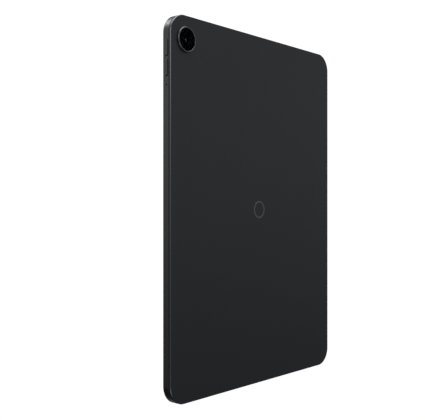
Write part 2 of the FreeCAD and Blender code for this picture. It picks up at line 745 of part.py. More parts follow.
def card_socket():
    """The pressed shell that guides the tray, with room for contacts above the card."""
    y0 = SIDE_AXIS_Y - TRAY_BODY_T / 2 - SLACK
    y1 = SIDE_AXIS_Y + TRAY_BODY_T / 2 + SLACK
    width = TRAY_BODY_W + 2 * SLACK
    shell = wall_block(
        WALL_T + SLACK, TRAY_LENGTH + SOCKET_TAIL, y0 - SLACK, y1 + 3 * SOCKET_WALL, width + 2 * SOCKET_WALL)
    inner = wall_block(WALL_T - PAST, TRAY_LENGTH + SOCKET_ROOM, y0, y1, width)
    return on_edge(shell.cut(inner), "left", TRAY_Z)


def eject_lever():
    """The push rod beside the tray and the lever behind it, at rest."""
    y0, y1 = SIDE_AXIS_Y - ROD_W / 2, SIDE_AXIS_Y + ROD_W / 2
    rod_end = TRAY_LENGTH + SOCKET_TAIL + 2 * SLACK
    rod = wall_block(WALL_T + SLACK, rod_end, y0, y1, ROD_W, PIN_HOLE_OFFSET + SLACK)
    arm = wall_block(rod_end, rod_end + LEVER_W, y0, y1, LEVER_L, PIN_HOLE_OFFSET - LEVER_L / 3)
    return [on_edge(rod, "left", TRAY_Z), on_edge(arm, "left", TRAY_Z)]


# ---------------------------------------------------------------- USB-C receptacle
def port_shell():
    """The drawn steel shell of the receptacle, closed at the back."""
    outer = pill(PORT_W + 2 * PORT_WALL, PORT_T + 2 * PORT_WALL, PORT_START, PORT_END)
    inner = pill(PORT_W, PORT_T, PORT_START - PAST, PORT_END - PORT_BACK_T)
    return on_edge(outer.cut(inner), "bottom", 0.0)


def port_tongue():
    """The centre tongue with its thicker root."""
    end = PORT_END - PORT_BACK_T - FIT_GAP
    half = TONGUE_T / 2
    blade = wall_block(TONGUE_START, end, SIDE_AXIS_Y - half, SIDE_AXIS_Y + half, TONGUE_W)
    root = pill(PORT_W - SLACK, PORT_T - SLACK, end - TONGUE_ROOT_L, end)
    return on_edge(fused([blade, root]), "bottom", 0.0)


def port_contacts():
    """Twelve plated contacts on each face of the tongue."""
    first = -(CONTACT_COUNT - 1) / 2 * CONTACT_PITCH
    end = CONTACT_START + CONTACT_L
    contacts = []
    for side in (-1, 1):
        face_y = SIDE_AXIS_Y + side * TONGUE_T / 2
        y0, y1 = sorted((face_y, face_y + side * CONTACT_T))
        for index in range(CONTACT_COUNT):
            contact = wall_block(CONTACT_START, end, y0, y1, CONTACT_W, first + index * CONTACT_PITCH)
            contacts.append(on_edge(contact, "bottom", 0.0))
    return contacts


# ---------------------------------------------------------------- rear camera
def window_back():
    """The inner face of the camera window."""
    return Y_BACK + RING_PROUD - WINDOW_SUNK - WINDOW_T


def baffle_back():
    """The inner face of the black baffle."""
    return window_back() - FIT_GAP - BAFFLE_T


def barrel_top():
    """The front rim of the lens barrel, at rest."""
    return baffle_back() - FOCUS_TRAVEL - FOCUS_SPARE


def camera_foot():
    """The floor of the camera body: on top of the image sensor's board and chip."""
    return Y_BOARD + IMAGER_BOARD_T + IMAGER_T


def camera_ring():
    """The turned ring that stands out through the back cover and holds the window."""
    top = Y_BACK + RING_PROUD
    body = disc(RING_R, Y_COVER_IN, top, CAMERA_X, CAMERA_Z)
    body = body.makeChamfer(RING_CHAMFER, edges_on(body, "Y", top))
    flange = disc(RING_FLANGE_R, Y_COVER_IN - RING_FLANGE_T, Y_COVER_IN, CAMERA_X, CAMERA_Z)
    bore = disc(RING_BORE_R, Y_MID, top + PAST, CAMERA_X, CAMERA_Z)
    seat = disc(WINDOW_R + FIT_GAP, window_back(), top + PAST, CAMERA_X, CAMERA_Z)
    return cut(fused([body, flange]), [bore, seat])


def camera_window():
    """The cover glass over the camera, with a small edge chamfer."""
    front = window_back() + WINDOW_T
    glass = disc(WINDOW_R, window_back(), front, CAMERA_X, CAMERA_Z)
    return glass.makeChamfer(WINDOW_CHAMFER, edges_on(glass, "Y", front))


def camera_baffle():
    """The black plate behind the window, dished towards the lens."""
    y0, y1 = baffle_back(), baffle_back() + BAFFLE_T
    dish_foot = FreeCAD.Vector(CAMERA_X, y0, CAMERA_Z)
    dish = Part.makeCone(
        BAFFLE_HOLE_R, BAFFLE_HOLE_R + BAFFLE_FLARE, BAFFLE_T, dish_foot, FreeCAD.Vector(0, 1, 0))
    return disc(RING_BORE_R - 2 * FIT_GAP, y0, y1, CAMERA_X, CAMERA_Z).cut(dish)


def camera_body():
    """The camera module's housing: square can, round neck and the barrel's bore."""
    y0, y1 = camera_foot(), barrel_top() - CAMERA_GAP
    can_top = Y_COVER_IN - RING_FLANGE_T - CAMERA_GAP
    can = plate(CAMERA_X, CAMERA_Z, CAMERA_SIDE, CAMERA_SIDE, y0, can_top)
    can = can.makeFillet(CAMERA_CORNER_R, edges_along(can, "Y", can_top - y0))
    neck = disc(CAMERA_NECK_R, y0 + BARREL_FLOOR, y1, CAMERA_X, CAMERA_Z)
    bore = disc(BARREL_R + SLACK, y0 + BARREL_FLOOR, y1 + PAST, CAMERA_X, CAMERA_Z)
    light_path = disc(LIGHT_PATH_R, y0 - PAST, y1 + PAST, CAMERA_X, CAMERA_Z)
    return cut(fused([can, neck]), [bore, light_path])


def lens_barrel():
    """The barrel that the focus coil moves, open at both ends."""
    y0, y1 = camera_foot() + BARREL_FLOOR + BARREL_REST, barrel_top()
    seat = disc(BARREL_BORE_R, y1 - LENS_SEAT, y1 + PAST, CAMERA_X, CAMERA_Z)
    light_path = disc(LIGHT_PATH_R, y0 - PAST, y1, CAMERA_X, CAMERA_Z)
    return cut(disc(BARREL_R, y0, y1, CAMERA_X, CAMERA_Z), [seat, light_path])


def front_lens():
    """The barrel's front element: a flat back, a thin edge and a domed face."""
    y0 = barrel_top() - LENS_SEAT
    dome = dome_lens(LENS_R, LENS_RISE, y0 + LENS_EDGE_T, toward_back=True)
    dome.translate(FreeCAD.Vector(CAMERA_X, 0, CAMERA_Z))
    return dome.common(disc(LENS_R, y0, y0 + LENS_EDGE_T + LENS_RISE + PAST, CAMERA_X, CAMERA_Z))


def camera_sensor():
    """The image sensor on its little board."""
    y_chip = Y_BOARD + IMAGER_BOARD_T
    board = plate(CAMERA_X, CAMERA_Z, CAMERA_SIDE, CAMERA_SIDE, Y_BOARD, y_chip)
    chip = plate(CAMERA_X, CAMERA_Z, IMAGER_W, IMAGER_H, y_chip, y_chip + IMAGER_T)
    return fused([board, chip])


# ---------------------------------------------------------------- front camera and light sensor
def front_camera_body():
    """The front camera's square housing, with a bore for its lens."""
    housing = plate(
        FRONT_CAMERA_X, MID_Z, FRONT_CAMERA_SIDE, FRONT_CAMERA_SIDE,
        Y_INK + FRONT_CAMERA_GAP, Y_MID + FRONT_CAMERA_PROUD)
    return housing.cut(disc(FRONT_BORE_R, Y_INK, Y_INK + FRONT_BORE_DEPTH, FRONT_CAMERA_X, MID_Z))


def front_camera_lens():
    """The front camera's small domed lens."""
    y_crown = Y_INK + FRONT_LENS_SUNK
    dome = dome_lens(FRONT_LENS_R, FRONT_LENS_RISE, y_crown + FRONT_LENS_RISE, toward_back=False)
    dome.translate(FreeCAD.Vector(FRONT_CAMERA_X, 0, MID_Z))
    return dome.common(disc(FRONT_LENS_R, Y_INK, Y_INK + FRONT_BORE_DEPTH, FRONT_CAMERA_X, MID_Z))


def light_sensor():
    """The ambient light sensor on its pillar."""
    return plate(
        FRONT_CAMERA_X, MID_Z + SENSOR_OFFSET, SENSOR_SIDE, SENSOR_SIDE, Y_INK + SLACK, Y_MID + SENSOR_PROUD)


# ---------------------------------------------------------------- speakers
def speaker_box(centre_x, centre_z):
    """A speaker's sealed box with its screw ears and a pocket for the driver."""
    y1 = Y_BOARD + SPEAKER_T
    spots = ear_spots(centre_x, centre_z)
    pieces = [rounded_plate(SPEAKER_W, SPEAKER_D, SPEAKER_CORNER_R, Y_BOARD, y1, x=centre_x, z=centre_z)]
    for x, z in spots:
        root_z = (z + centre_z) / 2
        pieces.append(disc(EAR_R, Y_BOARD, Y_BOARD_TOP, x, z))
        pieces.append(plate(x, root_z, 2 * EAR_R, abs(z - centre_z), Y_BOARD, Y_BOARD_TOP))
    pocket = rounded_plate(
        DRIVER_W + 2 * SLACK, DRIVER_D + 2 * SLACK, DRIVER_CORNER_R + SLACK,
        y1 - DRIVER_T - SLACK, y1 + PAST, x=centre_x, z=centre_z)
    return cut(fused(pieces), [pocket] + round_holes(spots, Y_BOARD, Y_BOARD_TOP, SCREW_HOLE_R))


def speaker_driver(centre_x, centre_z):
    """One driver: a steel basket with a shallow dish pressed into its cover."""
    y1 = Y_BOARD + SPEAKER_T - SLACK
    basket = rounded_plate(
        DRIVER_W, DRIVER_D, DRIVER_CORNER_R, y1 - DRIVER_T, y1, x=centre_x, z=centre_z)
    dish = rounded_plate(
        DRIVER_W * 0.75, DRIVER_D * 0.6, DRIVER_CORNER_R * 0.6, y1 - DISH_DEPTH, y1 + PAST,
        x=centre_x, z=centre_z)
    return basket.cut(dish)


def speaker_meshes():
    """The woven mesh strips behind the sound slots."""
    strip = pill(MESH_L, MESH_W, MESH_DEPTH, MESH_DEPTH + MESH_T)
    return [on_edge(strip, edge, along) for edge, along in speaker_rows()]


# ---------------------------------------------------------------- boards and what is on them
def main_board():
    """The main circuit board."""
    board = box(BOARD_X0, BOARD_X1, Y_BOARD, Y_BOARD_TOP, BOARD_Z0, BOARD_Z1)
    board = board.makeFillet(BOARD_R, edges_along(board, "Y", BOARD_T))
    return cut(board, round_holes(main_board_spots(), Y_BOARD, Y_BOARD_TOP, SCREW_HOLE_R))


def sub_board():
    """The small board behind the USB-C receptacle."""
    half = SUB_BOARD_W / 2
    board = box(-half, half, Y_BOARD, Y_BOARD_TOP, PORT_END + SLACK, SUB_BOARD_Z1)
    return cut(board, round_holes(sub_board_spots(), Y_BOARD, Y_BOARD_TOP, SCREW_HOLE_R))


def shield_can(site):
    """A pressed can over one block of chips."""
    x, z, width, height = site
    y1 = Y_BOARD_TOP + CAN_H
    outer = rounded_plate(width, height, CAN_R, Y_BOARD_TOP, y1, x=x, z=z)
    inner = rounded_plate(
        width - 2 * CAN_WALL, height - 2 * CAN_WALL, CAN_R - CAN_WALL, Y_BOARD_TOP, y1 - CAN_WALL, x=x, z=z)
    return outer.cut(inner)


def processor():
    """The processor package with its memory stacked on top."""
    y_memory = Y_BOARD_TOP + PACKAGE_T
    base = plate(PROCESSOR_X, PROCESSOR_Z, PROCESSOR_SIDE, PROCESSOR_SIDE, Y_BOARD_TOP, y_memory)
    memory = plate(PROCESSOR_X, PROCESSOR_Z, MEMORY_SIDE, MEMORY_SIDE, y_memory, y_memory + PACKAGE_T)
    return fused([base, memory])


def small_chips():
    """The storage chip, the power controller and the radio chip."""
    return [plate(x, z, width, height, Y_BOARD_TOP, Y_BOARD_TOP + CHIP_T) for x, z, width, height in CHIPS]


def thermal_pad():
    """The pad that carries heat from the processor's can to the back cover."""
    x, z, width, height = PROCESSOR_CAN
    y0 = Y_BOARD_TOP + CAN_H
    margin = 6.0
    return plate(x, z, width - margin, height - margin, y0, y0 + THERMAL_PAD_T)


def graphite_sheet():
    """The heat-spreading sheet on the inside of the back cover."""
    return rounded_plate(
        GRAPHITE_W, GRAPHITE_H, CAN_R, Y_COVER_IN - GRAPHITE_T, Y_COVER_IN,
        x=(BOARD_X0 + BOARD_X1) / 2 - 5.0, z=(BOARD_Z0 + BOARD_Z1) / 2)


def board_plugs():
    """The low board-to-board plugs that the flat cables land on."""
    depth = 4.0
    row_top = BOARD_Z1 - 5.0
    row_low = BOARD_Z0 + 4.0
    sites = (
        (BOARD_X1 - 3.0, SIDE_MIC_Z - 1.0, depth, 6.0),
        (POWER_CABLE_X, row_top, KEY_CABLE_W, 6.0),
        (CAMERA_CABLE_X, row_top, CAMERA_CABLE_W, depth),
        (DISPLAY_CABLE_X, row_top, DISPLAY_CABLE_W, depth),
        (LINK_X, row_low, LINK_W, depth),
        (GAUGE_CABLE_X, row_low, GAUGE_CABLE_W, depth),
        (LINK_X + LINK_SHIFT, SUB_BOARD_Z1 - 9.0, LINK_W, depth),
    )
    return [plate(x, z, width, height, Y_BOARD_TOP, Y_PLUG_TOP) for x, z, width, height in sites]


def chassis_screws():
    """The identical screws that hold the boards and the speakers to the mid plate."""
    head_top = Y_BOARD_TOP + SCREW_HEAD_H
    screws = []
    for x, z in screw_spots():
        head = disc(SCREW_HEAD_R, Y_BOARD_TOP, head_top, x, z)
        drive = disc(SCREW_DRIVE_R, head_top - SCREW_HEAD_H / 2, head_top, x, z)
        shank = disc(SCREW_SHANK_R, Y_FLANGE_BACK, Y_BOARD_TOP, x, z)
        screws.append(fused([head, shank]).cut(drive))
    return screws


def antenna_carriers():
    """The moulded antenna carriers in three corners."""
    high = BODY_H - CARRIER_INSET_Z
    sites = ((-CARRIER_X, high), (-CARRIER_X, CARRIER_INSET_Z), (CARRIER_X, CARRIER_INSET_Z))
    return [
        rounded_plate(CARRIER_SIDE, CARRIER_SIDE, 5.0, Y_BOARD, Y_BOARD + CARRIER_T, x=x, z=z)
        for x, z in sites
    ]


# ---------------------------------------------------------------- batteries
def battery_cell(side):
    """One pouch cell, with soft long edges."""
    y0 = Y_MID + CELL_TAPE_T
    length = CELL_Z1 - CELL_Z0
    centre_x = side * (CELL_GAP + CELL_W) / 2
    cell = plate(centre_x, (CELL_Z0 + CELL_Z1) / 2, CELL_W, length, y0, y0 + CELL_T)
    return cell.makeFillet(CELL_ROUND, edges_along(cell, "Z", length))


def battery_tapes():
    """The stretch-release strips under the cells."""
    y0, y1 = Y_MID, Y_MID + CELL_TAPE_T
    length = CELL_Z1 - CELL_Z0 - 12.0
    middle = (CELL_Z0 + CELL_Z1) / 2
    return [plate(side * x, middle, CELL_TAPE_W, length, y0, y1) for side in (-1, 1) for x in CELL_TAPE_XS]


def battery_board():
    """The cells' protection circuit, across their upper ends."""
    return plate(0, GAUGE_Z, GAUGE_W, GAUGE_H, Y_BOARD, Y_BOARD + GAUGE_T)


# ---------------------------------------------------------------- flat cables
def ribbon(points, width, across):
    """A flat cable along Z: straight legs through (z, y) points, of one width about x = across."""
    half = FLEX_T / 2
    legs = []
    for (z0, y0), (z1, y1) in zip(points, points[1:]):
        legs.append(box(
            across - width / 2, across + width / 2,
            min(y0, y1) - half, max(y0, y1) + half,
            min(z0, z1) - half, max(z0, z1) + half,
        ))
    return fused(legs)


def on_plugs():
    """The middle of a flat cable that lies on the plugs."""
    return Y_PLUG_TOP + FLEX_T / 2


def battery_flex():
    """The short cable from the protection circuit to the main board."""
    low, high = GAUGE_Z + GAUGE_H / 2 + FLEX_T, BOARD_Z0 + 6.0
    return ribbon([(low, on_plugs()), (high, on_plugs())], GAUGE_CABLE_W, GAUGE_CABLE_X)


def link_flex():
    """The long cable over a cell that joins the sub board to the main board."""
    y_low = on_plugs()
    y_high = Y_MID + CELL_TAPE_T + CELL_T + FLEX_T / 2
    foot_z = CELL_Z0 - 1.5
    fall = GAUGE_Z + GAUGE_H / 2 + 1.0
    run = ribbon(
        [(foot_z - 4.0, y_low), (foot_z, y_low), (foot_z, y_high), (fall, y_high), (fall, y_low),
         (BOARD_Z0 + 6.0, y_low)],
        LINK_W, LINK_X)
    step = ribbon([(foot_z - 4.0, y_low), (foot_z, y_low)], LINK_W + LINK_SHIFT, LINK_X + LINK_SHIFT / 2)
    tail = ribbon([(SUB_BOARD_Z1 - 11.0, y_low), (foot_z, y_low)], LINK_W, LINK_X + LINK_SHIFT)
    return fused([run, step, tail])


def display_flex():
    """The display's cable, through its slot in the mid plate to the main board."""
    y_panel = Y_BACKLIGHT + FIT_GAP + FLEX_T / 2
    route = [(BOARD_Z1 - 7.0, on_plugs()), (DISPLAY_SLOT_Z, on_plugs()), (DISPLAY_SLOT_Z, y_panel)]
    return ribbon(route, DISPLAY_CABLE_W, DISPLAY_CABLE_X)


def camera_flex():
    """The flat cable from the camera's board down and across to the main board."""
    y_foot = Y_BOARD + FLEX_T / 2
    turn = BOARD_Z1 + 2.0
    camera_edge = CAMERA_Z - CAMERA_SIDE / 2 - FLEX_T
    run = ribbon(
        [(BOARD_Z1 - 7.0, on_plugs()), (turn, on_plugs()), (turn, y_foot), (camera_edge, y_foot)],
        CAMERA_CABLE_W, CAMERA_CABLE_X)
    step = ribbon([(camera_edge - 3.0, y_foot), (camera_edge, y_foot)], 2 * CAMERA_CABLE_W, CAMERA_X - 5.0)
    return fused([run, step])


# ---------------------------------------------------------------- the parts by node name
def housing_nodes():
    """The outer parts, the display stack and the front sensors."""
    return {
        "back_cover": back_cover(),
        "cover_seal": cover_seal(),
        "side_frame": side_frame(),
        "antenna_breaks": at_breaks(break_insert()),
        "emblem_ring": emblem_ring(),
        "mid_plate": mid_plate(),
        "cover_glass": cover_glass(),
        "ink_border": ink_border(),
        "polariser": polariser(),
        "display_panel": display_panel(),
        "backlight_tray": backlight_tray(),
        "display_tape": display_tape(),
        "front_camera_body": front_camera_body(),
        "front_camera_lens": front_camera_lens(),
        "light_sensor": light_sensor(),
    }


def edge_nodes():
    """The keys, microphones, card tray, receptacle and speaker meshes."""
    up_dome, down_dome, power_dome = at_keys(dome())
    switch_base = on_switch_line(SWITCH_DEPTH, FLEX_DEPTH, SWITCH_L)
    return {
        "volume_up_key": on_edge(key(VOLUME_KEY_L), "right", VOLUME_UP_Z),
        "volume_down_key": on_edge(key(VOLUME_KEY_L), "right", VOLUME_DOWN_Z),
        "power_key": on_edge(key(POWER_KEY_L), "top", POWER_X),
        "volume_up_dome": up_dome,
        "volume_down_dome": down_dome,
        "power_dome": power_dome,
        "switch_bases": at_keys(switch_base),
        "volume_flex": volume_flex(),
        "power_flex": power_flex(),
        "microphones": microphones(),
        "card_tray": card_tray(),
        "card_socket": card_socket(),
        "eject_lever": eject_lever(),
        "port_shell": port_shell(),
        "port_tongue": port_tongue(),
        "port_contacts": port_contacts(),
        "speaker_meshes": speaker_meshes(),
    }


def inner_nodes():
    """The camera, speakers, boards, batteries and flat cables."""
    return {
        "camera_ring": camera_ring(),
        "camera_window": camera_window(),
        "camera_baffle": camera_baffle(),
        "camera_body": camera_body(),
        "lens_barrel": lens_barrel(),
        "front_lens": front_lens(),
        "camera_sensor": camera_sensor(),
        "camera_flex": camera_flex(),
        "speaker_boxes": [speaker_box(x, z) for x, z in speaker_centres()],
        "speaker_drivers": [speaker_driver(x, z) for x, z in speaker_centres()],
        "main_board": main_board(),
        "sub_board": sub_board(),
        "processor": processor(),
        "small_chips": small_chips(),
        "processor_can": shield_can(PROCESSOR_CAN),
        "power_can": shield_can(POWER_CAN),
        "thermal_pad": thermal_pad(),
        "graphite_sheet": graphite_sheet(),
        "board_plugs": board_plugs(),
        "chassis_screws": chassis_screws(),
        "antenna_carriers": antenna_carriers(),
        "battery_cell_left": battery_cell(-1),
        "battery_cell_right": battery_cell(1),
        "battery_tapes": battery_tapes(),
        "battery_board": battery_board(),
        "battery_flex": battery_flex(),
        "link_flex": link_flex(),
        "display_flex": display_flex(),
    }


def main():
    """Writes one STEP file for each node."""
    os.makedirs("parts", exist_ok=True)
    for name, shape in {**housing_nodes(), **edge_nodes(), **inner_nodes()}.items():
        if isinstance(shape, list):
            shape = Part.makeCompound(shape)
        if not shape.isValid():
            raise ValueError(f"{name} is not a valid shape")
        shape.exportStep(f"parts/{name}.step")


main()
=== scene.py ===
"""Tablet computer, upright in portrait: the looks of every piece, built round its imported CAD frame.

+X is the side with the volume keys, -Y comes out of the screen and +Z is up. The frame is in metres;
sizes in the classes are in millimetres, and turn into metres where a mesh is made.
"""

import json
import logging
import math
from collections.abc import Callable, Iterable, Sequence
from dataclasses import dataclass, field
from enum import Enum
from typing import Any, ClassVar, Protocol

import bmesh
import bpy
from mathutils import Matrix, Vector

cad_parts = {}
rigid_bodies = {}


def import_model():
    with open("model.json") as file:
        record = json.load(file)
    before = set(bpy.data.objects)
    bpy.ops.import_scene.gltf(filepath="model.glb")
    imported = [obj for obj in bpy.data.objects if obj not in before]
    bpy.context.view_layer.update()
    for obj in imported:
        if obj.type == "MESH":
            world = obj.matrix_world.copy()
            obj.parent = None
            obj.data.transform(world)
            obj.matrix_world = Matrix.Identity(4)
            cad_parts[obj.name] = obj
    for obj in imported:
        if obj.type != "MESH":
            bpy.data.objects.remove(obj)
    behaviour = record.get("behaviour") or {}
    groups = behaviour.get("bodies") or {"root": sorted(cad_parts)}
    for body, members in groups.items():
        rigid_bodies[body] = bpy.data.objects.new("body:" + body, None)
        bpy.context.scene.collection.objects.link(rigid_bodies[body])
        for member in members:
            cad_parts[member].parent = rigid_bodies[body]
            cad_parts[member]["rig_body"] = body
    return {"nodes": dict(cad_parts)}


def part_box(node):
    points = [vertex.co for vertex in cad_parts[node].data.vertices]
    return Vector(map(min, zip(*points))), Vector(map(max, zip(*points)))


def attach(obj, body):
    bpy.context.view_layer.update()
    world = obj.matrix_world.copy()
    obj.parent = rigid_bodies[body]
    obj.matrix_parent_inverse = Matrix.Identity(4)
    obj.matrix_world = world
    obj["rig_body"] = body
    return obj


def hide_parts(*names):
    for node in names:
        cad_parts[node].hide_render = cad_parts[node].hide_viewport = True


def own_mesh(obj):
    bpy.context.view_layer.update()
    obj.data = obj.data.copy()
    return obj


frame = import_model()

LOG = logging.getLogger("tablet")
MM = 0.001
TABLET = "tablet"                       # the body that nearly everything rides on
CORNER_STEPS = 24                       # points in a quarter turn of the tablet's outline
SMALL_STEPS = 8                         # and of a small opening's
CIRCLE_STEPS = 96
FINE_CIRCLE = 24                        # points round a hole or shank of a millimetre or so
SHARP_ANGLE = math.radians(28.0)
OUTSIDE = 0.5                           # how far a cutter starts outside the surface it opens
PAST_WALL = 0.05                        # how far it runs past the wall that it goes through
SQUARE_CORNER = 0.02                    # the smallest corner that an outline has

Point = tuple[float, float, float]
Place = Callable[[float, float, float], Point]


# ---------------------------------------------------------------- nodes and colours
def add_node(
    tree: bpy.types.NodeTree,
    kind: str,
    settings: dict[str | int, Any] | None = None,
    links: dict[str | int, bpy.types.NodeSocket] | None = None,
) -> bpy.types.Node:
    """Adds one node to a tree, sets it up and joins it to what feeds it.

    Args:
        tree: The shader or geometry tree that gets the node.
        kind: The node's type, as Blender names it.
        settings: Values by the name of a property, or by the name or number of an input.
        links: Output sockets of other nodes by the name or number of the input they feed.

    Returns:
        The new node.
    """
    node = tree.nodes.new(kind)
    for name, value in (settings or {}).items():
        if isinstance(name, str) and hasattr(node, name):
            setattr(node, name, value)
        else:
            node.inputs[name].default_value = value
    for name, source in (links or {}).items():
        tree.links.new(source, node.inputs[name])
    return node


def linear(colour: str) -> tuple[float, float, float, float]:
    """Turns an sRGB colour into the linear one that a shader takes.

    Args:
        colour: Six hexadecimal digits after a hash sign.

    Returns:
        Red, green, blue and a full alpha.
    """
    shares = [int(colour[start:start + 2], 16) / 255 for start in (1, 3, 5)]
    red, green, blue = (
        share / 12.92 if share <= 0.04045 else ((share + 0.055) / 1.055) ** 2.4 for share in shares
    )
    return (red, green, blue, 1.0)


# ---------------------------------------------------------------- finishes
class Grain(Enum):
    """How a surface was made, which decides the shape of its fine pattern."""

    GRIT = "grit"               # blasted, moulded or printed: the same in every direction
    STREAKS = "streaks"         # brushed, drawn or rolled: long lines along one axis
    RINGS = "rings"             # turned on a lathe: circles about the piece's own axis
    CELLS = "cells"             # foamed, crinkled or cast: rounded cells side by side
    STRIPES = "stripes"         # conductors side by side in a flat cable
    TILES = "tiles"             # copper lands on a board, or the cells of a panel


@dataclass(frozen=True)
class Finish:
    """One real finish, drawn with procedural nodes on the piece's own Object coordinates.

    Attributes:
        name: What the finish is and how it was made.
        grain: The shape of the fine pattern.
        grain_mm: The size of one grain, line or cell.
        dark: Colour in the pattern's hollows.
        light: Colour on its heights.
        rough: Lowest and highest roughness.
        metallic: 1 for bare or anodised metal, less for foil under film and graphite, 0 for the rest.
        relief_mm: Height of the fine pattern.
        blotch_mm: Size of the broad, faint change of tone.
        blotch: Share of the broad change in colour and roughness, from 0 to 1.
        stretch: How much the pattern is drawn out along X, Y and Z; below 1 is longer.
        centre_mm: Point that a turned pattern goes round.
        sockets: Values that are the same all over, by the shader socket's name.
    """

    name: str
    grain: Grain
    grain_mm: float
    dark: str
    light: str
    rough: tuple[float, float]
    metallic: float = 0.0
    relief_mm: float = 0.0
    blotch_mm: float = 30.0
    blotch: float = 0.3
    stretch: Point = (1.0, 1.0, 1.0)
    centre_mm: Point = (0.0, 0.0, 0.0)
    sockets: tuple[tuple[str, float], ...] = ()

    made: ClassVar[dict[str, bpy.types.Material]] = {}

    def material(self) -> bpy.types.Material:
        """Gives the Blender material, made the first time that it is asked for.

        Returns:
            The material.
        """
        if self.name not in Finish.made:
            Finish.made[self.name] = self._make()
        return Finish.made[self.name]

    def _pattern(self, tree: bpy.types.NodeTree) -> bpy.types.NodeSocket:
        """Draws the fine pattern.

        Args:
            tree: The material's node tree.

        Returns:
            An output that runs from 0 in the pattern's hollows to 1 on its heights.
        """
        per_metre = [share / (self.grain_mm * MM) for share in self.stretch]
        shift = [-middle * MM * scale for middle, scale in zip(self.centre_mm, per_metre)]
        coordinates = add_node(tree, "ShaderNodeTexCoord")
        mapped = add_node(
            tree, "ShaderNodeMapping", {"Location": shift, "Scale": per_metre},
            {"Vector": coordinates.outputs["Object"]},
        ).outputs["Vector"]
        if self.grain is Grain.RINGS:
            radius = add_node(tree, "ShaderNodeVectorMath", {"operation": "LENGTH"}, {0: mapped})
            noise = add_node(
                tree, "ShaderNodeTexNoise", {"noise_dimensions": "1D", "Scale": 1.0, "Detail": 3.0},
                {"W": radius.outputs["Value"]},
            )
            return noise.outputs["Fac"]
        if self.grain is Grain.CELLS:
            cells = add_node(
                tree, "ShaderNodeTexVoronoi", {"feature": "SMOOTH_F1", "Scale": 1.0, "Smoothness": 0.6},
                {"Vector": mapped},
            )
            return cells.outputs["Distance"]
        if self.grain is Grain.STRIPES:
            one_per_unit = math.pi / 10
            wave = add_node(
                tree, "ShaderNodeTexWave", {"Scale": one_per_unit, "Distortion": 0.0}, {"Vector": mapped})
            return wave.outputs["Fac"]
        if self.grain is Grain.TILES:
            tiles = add_node(
                tree, "ShaderNodeTexBrick",
                {"Scale": 1.0, "Mortar Size": 0.08, "Mortar Smooth": 0.3, "Brick Width": 1.0,
                 "Row Height": 1.0, "offset": 0.5},
                {"Vector": mapped},
            )
            return tiles.outputs["Fac"]
        noise = add_node(
            tree, "ShaderNodeTexNoise", {"Scale": 1.0, "Detail": 4.0, "Roughness": 0.6}, {"Vector": mapped})
        return noise.outputs["Fac"]

    def _make(self) -> bpy.types.Material:
        """Builds the material: pattern and blotches into colour, roughness and relief.

        Returns:
            The new material.
        """
        material = bpy.data.materials.new(self.name)
        material.use_nodes = True
        tree = material.node_tree
        tree.nodes.clear()
        fine = self._pattern(tree)
        coordinates = add_node(tree, "ShaderNodeTexCoord")
        broad = add_node(
            tree, "ShaderNodeTexNoise",
            {"Scale": 1 / (self.blotch_mm * MM), "Detail": 2.0, "Roughness": 0.5},
            {"Vector": coordinates.outputs["Object"]},
        )
        tone = add_node(
            tree, "ShaderNodeMix", {"data_type": "FLOAT", 0: self.blotch}, {2: fine, 3: broad.outputs["Fac"]})
        colour = add_node(
            tree, "ShaderNodeMix", {"data_type": "RGBA", 6: linear(self.dark), 7: linear(self.light)},
            {0: tone.outputs[0]},
        )
        low, high = self.rough
        roughness = add_node(
            tree, "ShaderNodeMapRange",
            {"From Min": 0.25, "From Max": 0.75, "To Min": high, "To Max": low},
            {"Value": tone.outputs[0]},
        )
        bump = add_node(
            tree, "ShaderNodeBump", {"Strength": 1.0, "Distance": self.relief_mm * MM}, {"Height": fine})
        shader = add_node(
            tree, "ShaderNodeBsdfPrincipled", {"Metallic": self.metallic, **dict(self.sockets)},
            {
                "Base Color": colour.outputs[2],
                "Roughness": roughness.outputs["Result"],
                "Normal": bump.outputs["Normal"],
            },
        )
        add_node(tree, "ShaderNodeOutputMaterial", None, {"Surface": shader.outputs["BSDF"]})
        return material


# Bonded glass reflects from its front only and coated camera glass hardly at all. Each is a solid
# with two faces here, so a lower index gives the two together the real share of reflection.
BONDED_GLASS = (("Transmission Weight", 1.0), ("IOR", 1.36))
COATED_GLASS = (("Transmission Weight", 1.0), ("IOR", 1.03))
# The lines and the point that turned patterns go round.
CAMERA_AXIS = (79.3, 0.0, 239.1)
MARK_AXIS = (0.0, 0.0, 127.55)
DOME_MIDDLE = (91.0, -0.1, 232.1)
# Patterns drawn out along an axis, and rings about a line along Y.
ALONG_X, ALONG_Z = (0.03, 1.0, 1.0), (1.0, 1.0, 0.03)
AROUND_Y = (1.0, 0.0, 1.0)

# Bead blasting leaves an even, very fine grit, and the dye in the anodic film turns the metal
# charcoal: a soft, dark sheen with hardly a grain to see. Real grit is near 0.08 mm, too fine to
# show, so it is drawn at 0.5 mm and kept faint.
SHELL_METAL = Finish(
    "bead_blasted_anodised_aluminium", Grain.GRIT, 0.5, "#66696d", "#6d7075", (0.40, 0.47),
    metallic=1.0, relief_mm=0.0015, blotch_mm=45.0, blotch=0.35)
# The frame has the same dye over a finer blast, so it is a little lighter and smoother.
FRAME_METAL = Finish(
    "fine_blasted_anodised_frame", Grain.GRIT, 0.4, "#797b7e", "#808285", (0.34, 0.41),
    metallic=1.0, relief_mm=0.001, blotch_mm=30.0, blotch=0.4)
# A diamond tool cuts the rear edge after blasting: bright, nearly mirror-smooth, with fine tool
# lines along the cut, drawn at 0.25 mm.
CUT_EDGE = Finish(
    "diamond_cut_anodised_edge", Grain.STREAKS, 0.25, "#929497", "#9c9ea1", (0.20, 0.28),
    metallic=1.0, relief_mm=0.0006, blotch_mm=20.0, blotch=0.5, stretch=ALONG_Z)
